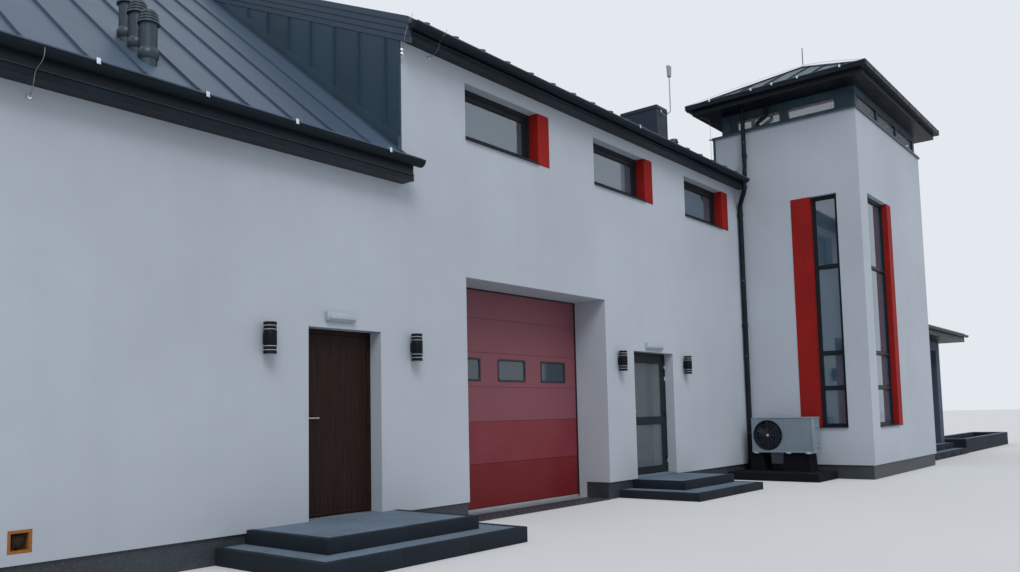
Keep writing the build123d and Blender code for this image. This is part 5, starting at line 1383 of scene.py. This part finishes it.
def porch_seams():
    """Standing seams on the porch's front and end slope, and the hip between them."""
    x0, x1, front, eave, rise = porch
    foot, count, width, height = eave + 0.016, 18, 0.02, 0.06
    seams = []
    for i in range(1, count):
        x = x0 + i * (x1 - x0) / count
        reach = min(front, x1 - x)
        seams.append(bar_piece("seam", at(x, -front, foot), at(x, reach - front, foot + rise * reach),
                               width, height, 0.004))
    for i in range(1, 7):
        reach = i * 0.3
        y = reach - front
        seams.append(bar_piece("seam", at(x1, y, foot), at(x1 - reach, y, foot + rise * reach),
                               width, height, 0.004))
    top = eave + 0.02
    hip_ends = at(x1, -front, top), at(x1 - front, 0, top + rise * front)
    seams.append(bar_piece("hip", *hip_ends, 0.09, 0.04, 0.008))
    settle(join(seams, "porch_seams"), "tower_trim_sheet")


def porch_gutter():
    """The porch's gutter: a half pipe of sheet, its rolled edge and the hooks that carry it."""
    x0, x1, front, eave = porch[:4]
    start, end, rim, radius = x0 + 0.01, x1 + 0.06, eave - 0.02, 0.055
    pitch, half = 0.49, 0.014
    hooks = []
    for i in range(12):
        x = x0 + (i + 0.5) * pitch
        hooks.append(block_piece("hook", at(x - half, -front - 0.112, rim), at(x + half, -front, rim + 0.01),
                                 0.002))
    lip = wire_piece("porch_gutter_lip", [at(x, -front - 0.108, rim) for x in (start, end)], 0.008)
    settle(join(hooks, "porch_hooks"), "bright_zinc")
    settle(lip, "gutter_lip_highlight_sheet")
    bpy.ops.object.select_all(action="DESELECT")
    bpy.ops.mesh.primitive_cylinder_add(radius=radius, depth=end - start, vertices=32,
                                        location=at((start + end) / 2, -front - radius, rim),
                                        rotation=(0, math.pi / 2, 0))
    gutter = bpy.context.object
    gutter.name = "porch_gutter"
    bpy.ops.object.transform_apply(location=True, rotation=True, scale=True)
    bpy.ops.object.mode_set(mode="EDIT")
    bpy.ops.mesh.select_all(action="SELECT")
    bpy.ops.mesh.bisect(plane_co=(0, 0, rim), plane_no=(0, 0, 1), clear_outer=True)
    bpy.ops.object.mode_set(mode="OBJECT")
    thicken(gutter, 0.003)
    settle(gutter, "folded_trim_sheet")


def planter_coping():
    """Pale slabs along the planter's walls."""
    x0, x1, y0, y1, top, wide, gap = 28.10, 34.60, -2.06, -0.95, 0.40, 0.08, 0.002
    coping = []
    for low, high in (((x0, y0), (x1, y0 + wide)), ((x0, y1 - wide), (x1, y1)),
                      ((x0, y0 + wide), (x0 + wide, y1 - wide)), ((x1 - wide, y0 + wide), (x1, y1 - wide))):
        coping.append(block_piece("stone", at(low[0] + gap, low[1] + gap, top - gap),
                                  at(high[0] - gap, high[1] - gap, top + 0.02), 0.006))
    settle(join(coping, "planter_coping"), "step_slab_concrete")


class STATION_OT_porch_trim(bpy.types.Operator):
    """Seams, gutter and hooks of the porch roof, and the pale coping of the planter"""
    bl_idname = "station.porch_trim"
    bl_label = "Porch and planter"

    def execute(self, context):
        porch_seams()
        porch_gutter()
        planter_coping()
        return {"FINISHED"}


class STATION_OT_stage(bpy.types.Operator):
    """Studio floor, soft light and the camera at the photograph's place"""
    bl_idname = "station.stage"
    bl_label = "Stage"

    def execute(self, context):
        bpy.ops.object.select_all(action="DESELECT")
        bpy.ops.mesh.primitive_plane_add(size=400, location=(0, 0, -0.002))
        floor = context.object
        floor.name = "studio_floor"
        studio_floor(context.scene.station_colours)
        floor.data.materials.append(bpy.data.materials["studio_floor_paint"])
        studio_world(context.scene)
        bpy.ops.object.light_add(type="SUN", location=(0, -20, 30))
        sun = context.object
        sun.name = "soft_key"
        sun.data.energy = 1.5
        sun.data.angle = math.radians(30)
        sun.rotation_euler = Vector((0.55, 0.75, -1.0)).to_track_quat("-Z", "Y").to_euler()
        photo_camera(context.scene)
        context.scene.view_settings.view_transform = "Standard"
        return {"FINISHED"}


def studio_floor(colours):
    # Matt painted studio floor
    tree, shader, place = start_material("studio_floor_paint", 0.95)
    cloud = add(tree, "ShaderNodeTexNoise", {"Vector": place, "Scale": 0.2, "Detail": 3})
    tone = add(tree, "ShaderNodeValToRGB", {"Fac": cloud.outputs["Fac"]},
               [(0.3, shade(colours.floor, 0.98)), (0.7, shade(colours.floor, 1.02))])
    tree.links.new(tone.outputs[0], shader.inputs["Base Color"])


def studio_world(scene):
    """An even pale sky that lights the building softly and shows behind it."""
    world = bpy.data.worlds.new("studio")
    scene.world = world
    world.use_nodes = True
    tree = world.node_tree
    tree.nodes.clear()
    seen = add(tree, "ShaderNodeLightPath")
    either = add(tree, "ShaderNodeMath", {0: seen.outputs["Is Camera Ray"], 1: seen.outputs["Is Glossy Ray"]},
                 operation="MAXIMUM")
    any_of = add(tree, "ShaderNodeMath", {0: either.outputs[0], 1: seen.outputs["Is Transmission Ray"]},
                 operation="MAXIMUM")
    light = add(tree, "ShaderNodeBackground", {"Color": (0.93, 0.96, 1, 1), "Strength": 0.62})
    shown = add(tree, "ShaderNodeBackground", {"Color": (*linear("#e4e9ef"), 1), "Strength": 1.0})
    mixed = add(tree, "ShaderNodeMixShader", {0: any_of.outputs[0], 1: light.outputs[0], 2: shown.outputs[0]})
    add(tree, "ShaderNodeOutputWorld", {"Surface": mixed.outputs[0]})


def photo_camera(scene):
    """The camera where the photograph was taken: near the left end, looking along the front."""
    yaw, pitch, roll = math.radians(50.877), math.radians(4.858), math.radians(-1.229)
    forward = Vector((math.sin(yaw) * math.cos(pitch), math.cos(yaw) * math.cos(pitch), math.sin(pitch)))
    level = Vector((math.cos(yaw), -math.sin(yaw), 0))
    upward = level.cross(forward)
    right = level * math.cos(roll) + upward * math.sin(roll)
    up = upward * math.cos(roll) - level * math.sin(roll)
    data = bpy.data.cameras.new("photo_camera")
    data.sensor_width = 36
    data.lens = 30.175
    data.shift_y = 0.054
    data.clip_end = 500
    camera = bpy.data.objects.new("photo_camera", data)
    turn = Matrix((right, up, -forward)).transposed().to_4x4()
    camera.matrix_world = Matrix.Translation(at(0.78067, -7.53472, 1.4031)) @ turn
    scene.collection.objects.link(camera)
    scene.camera = camera


classes = (StationColours, StationSizes, STATION_OT_finishes, STATION_OT_kerbs, STATION_OT_beads,
           STATION_OT_door_lights, STATION_OT_vehicle_door, STATION_OT_lamps, STATION_OT_house_doors,
           STATION_OT_eaves, STATION_OT_seams, STATION_OT_conductor, STATION_OT_tower_trim,
           STATION_OT_heat_pump, STATION_OT_chimney_trim, STATION_OT_fixings, STATION_OT_porch_trim,
           STATION_OT_stage)


class STATION_PT_panel(bpy.types.Panel):
    """Lists the station's pieces"""
    bl_idname = "STATION_PT_panel"
    bl_label = "Fire Station"
    bl_space_type = "VIEW_3D"
    bl_region_type = "UI"
    bl_category = "Station"

    def draw(self, context):
        for made in classes:
            if issubclass(made, bpy.types.Operator):
                self.layout.operator(made.bl_idname)


def register():
    for made in (*classes, STATION_PT_panel):
        bpy.utils.register_class(made)
    bpy.types.Scene.station_colours = PointerProperty(type=StationColours)
    bpy.types.Scene.station_sizes = PointerProperty(type=StationSizes)


def unregister():
    del bpy.types.Scene.station_sizes
    del bpy.types.Scene.station_colours
    for made in (STATION_PT_panel, *reversed(classes)):
        bpy.utils.unregister_class(made)


def main():
    register()
    for made in classes:
        if issubclass(made, bpy.types.Operator):
            getattr(bpy.ops.station, made.bl_idname.partition(".")[2])()


if __name__ == "__main__":
    main()
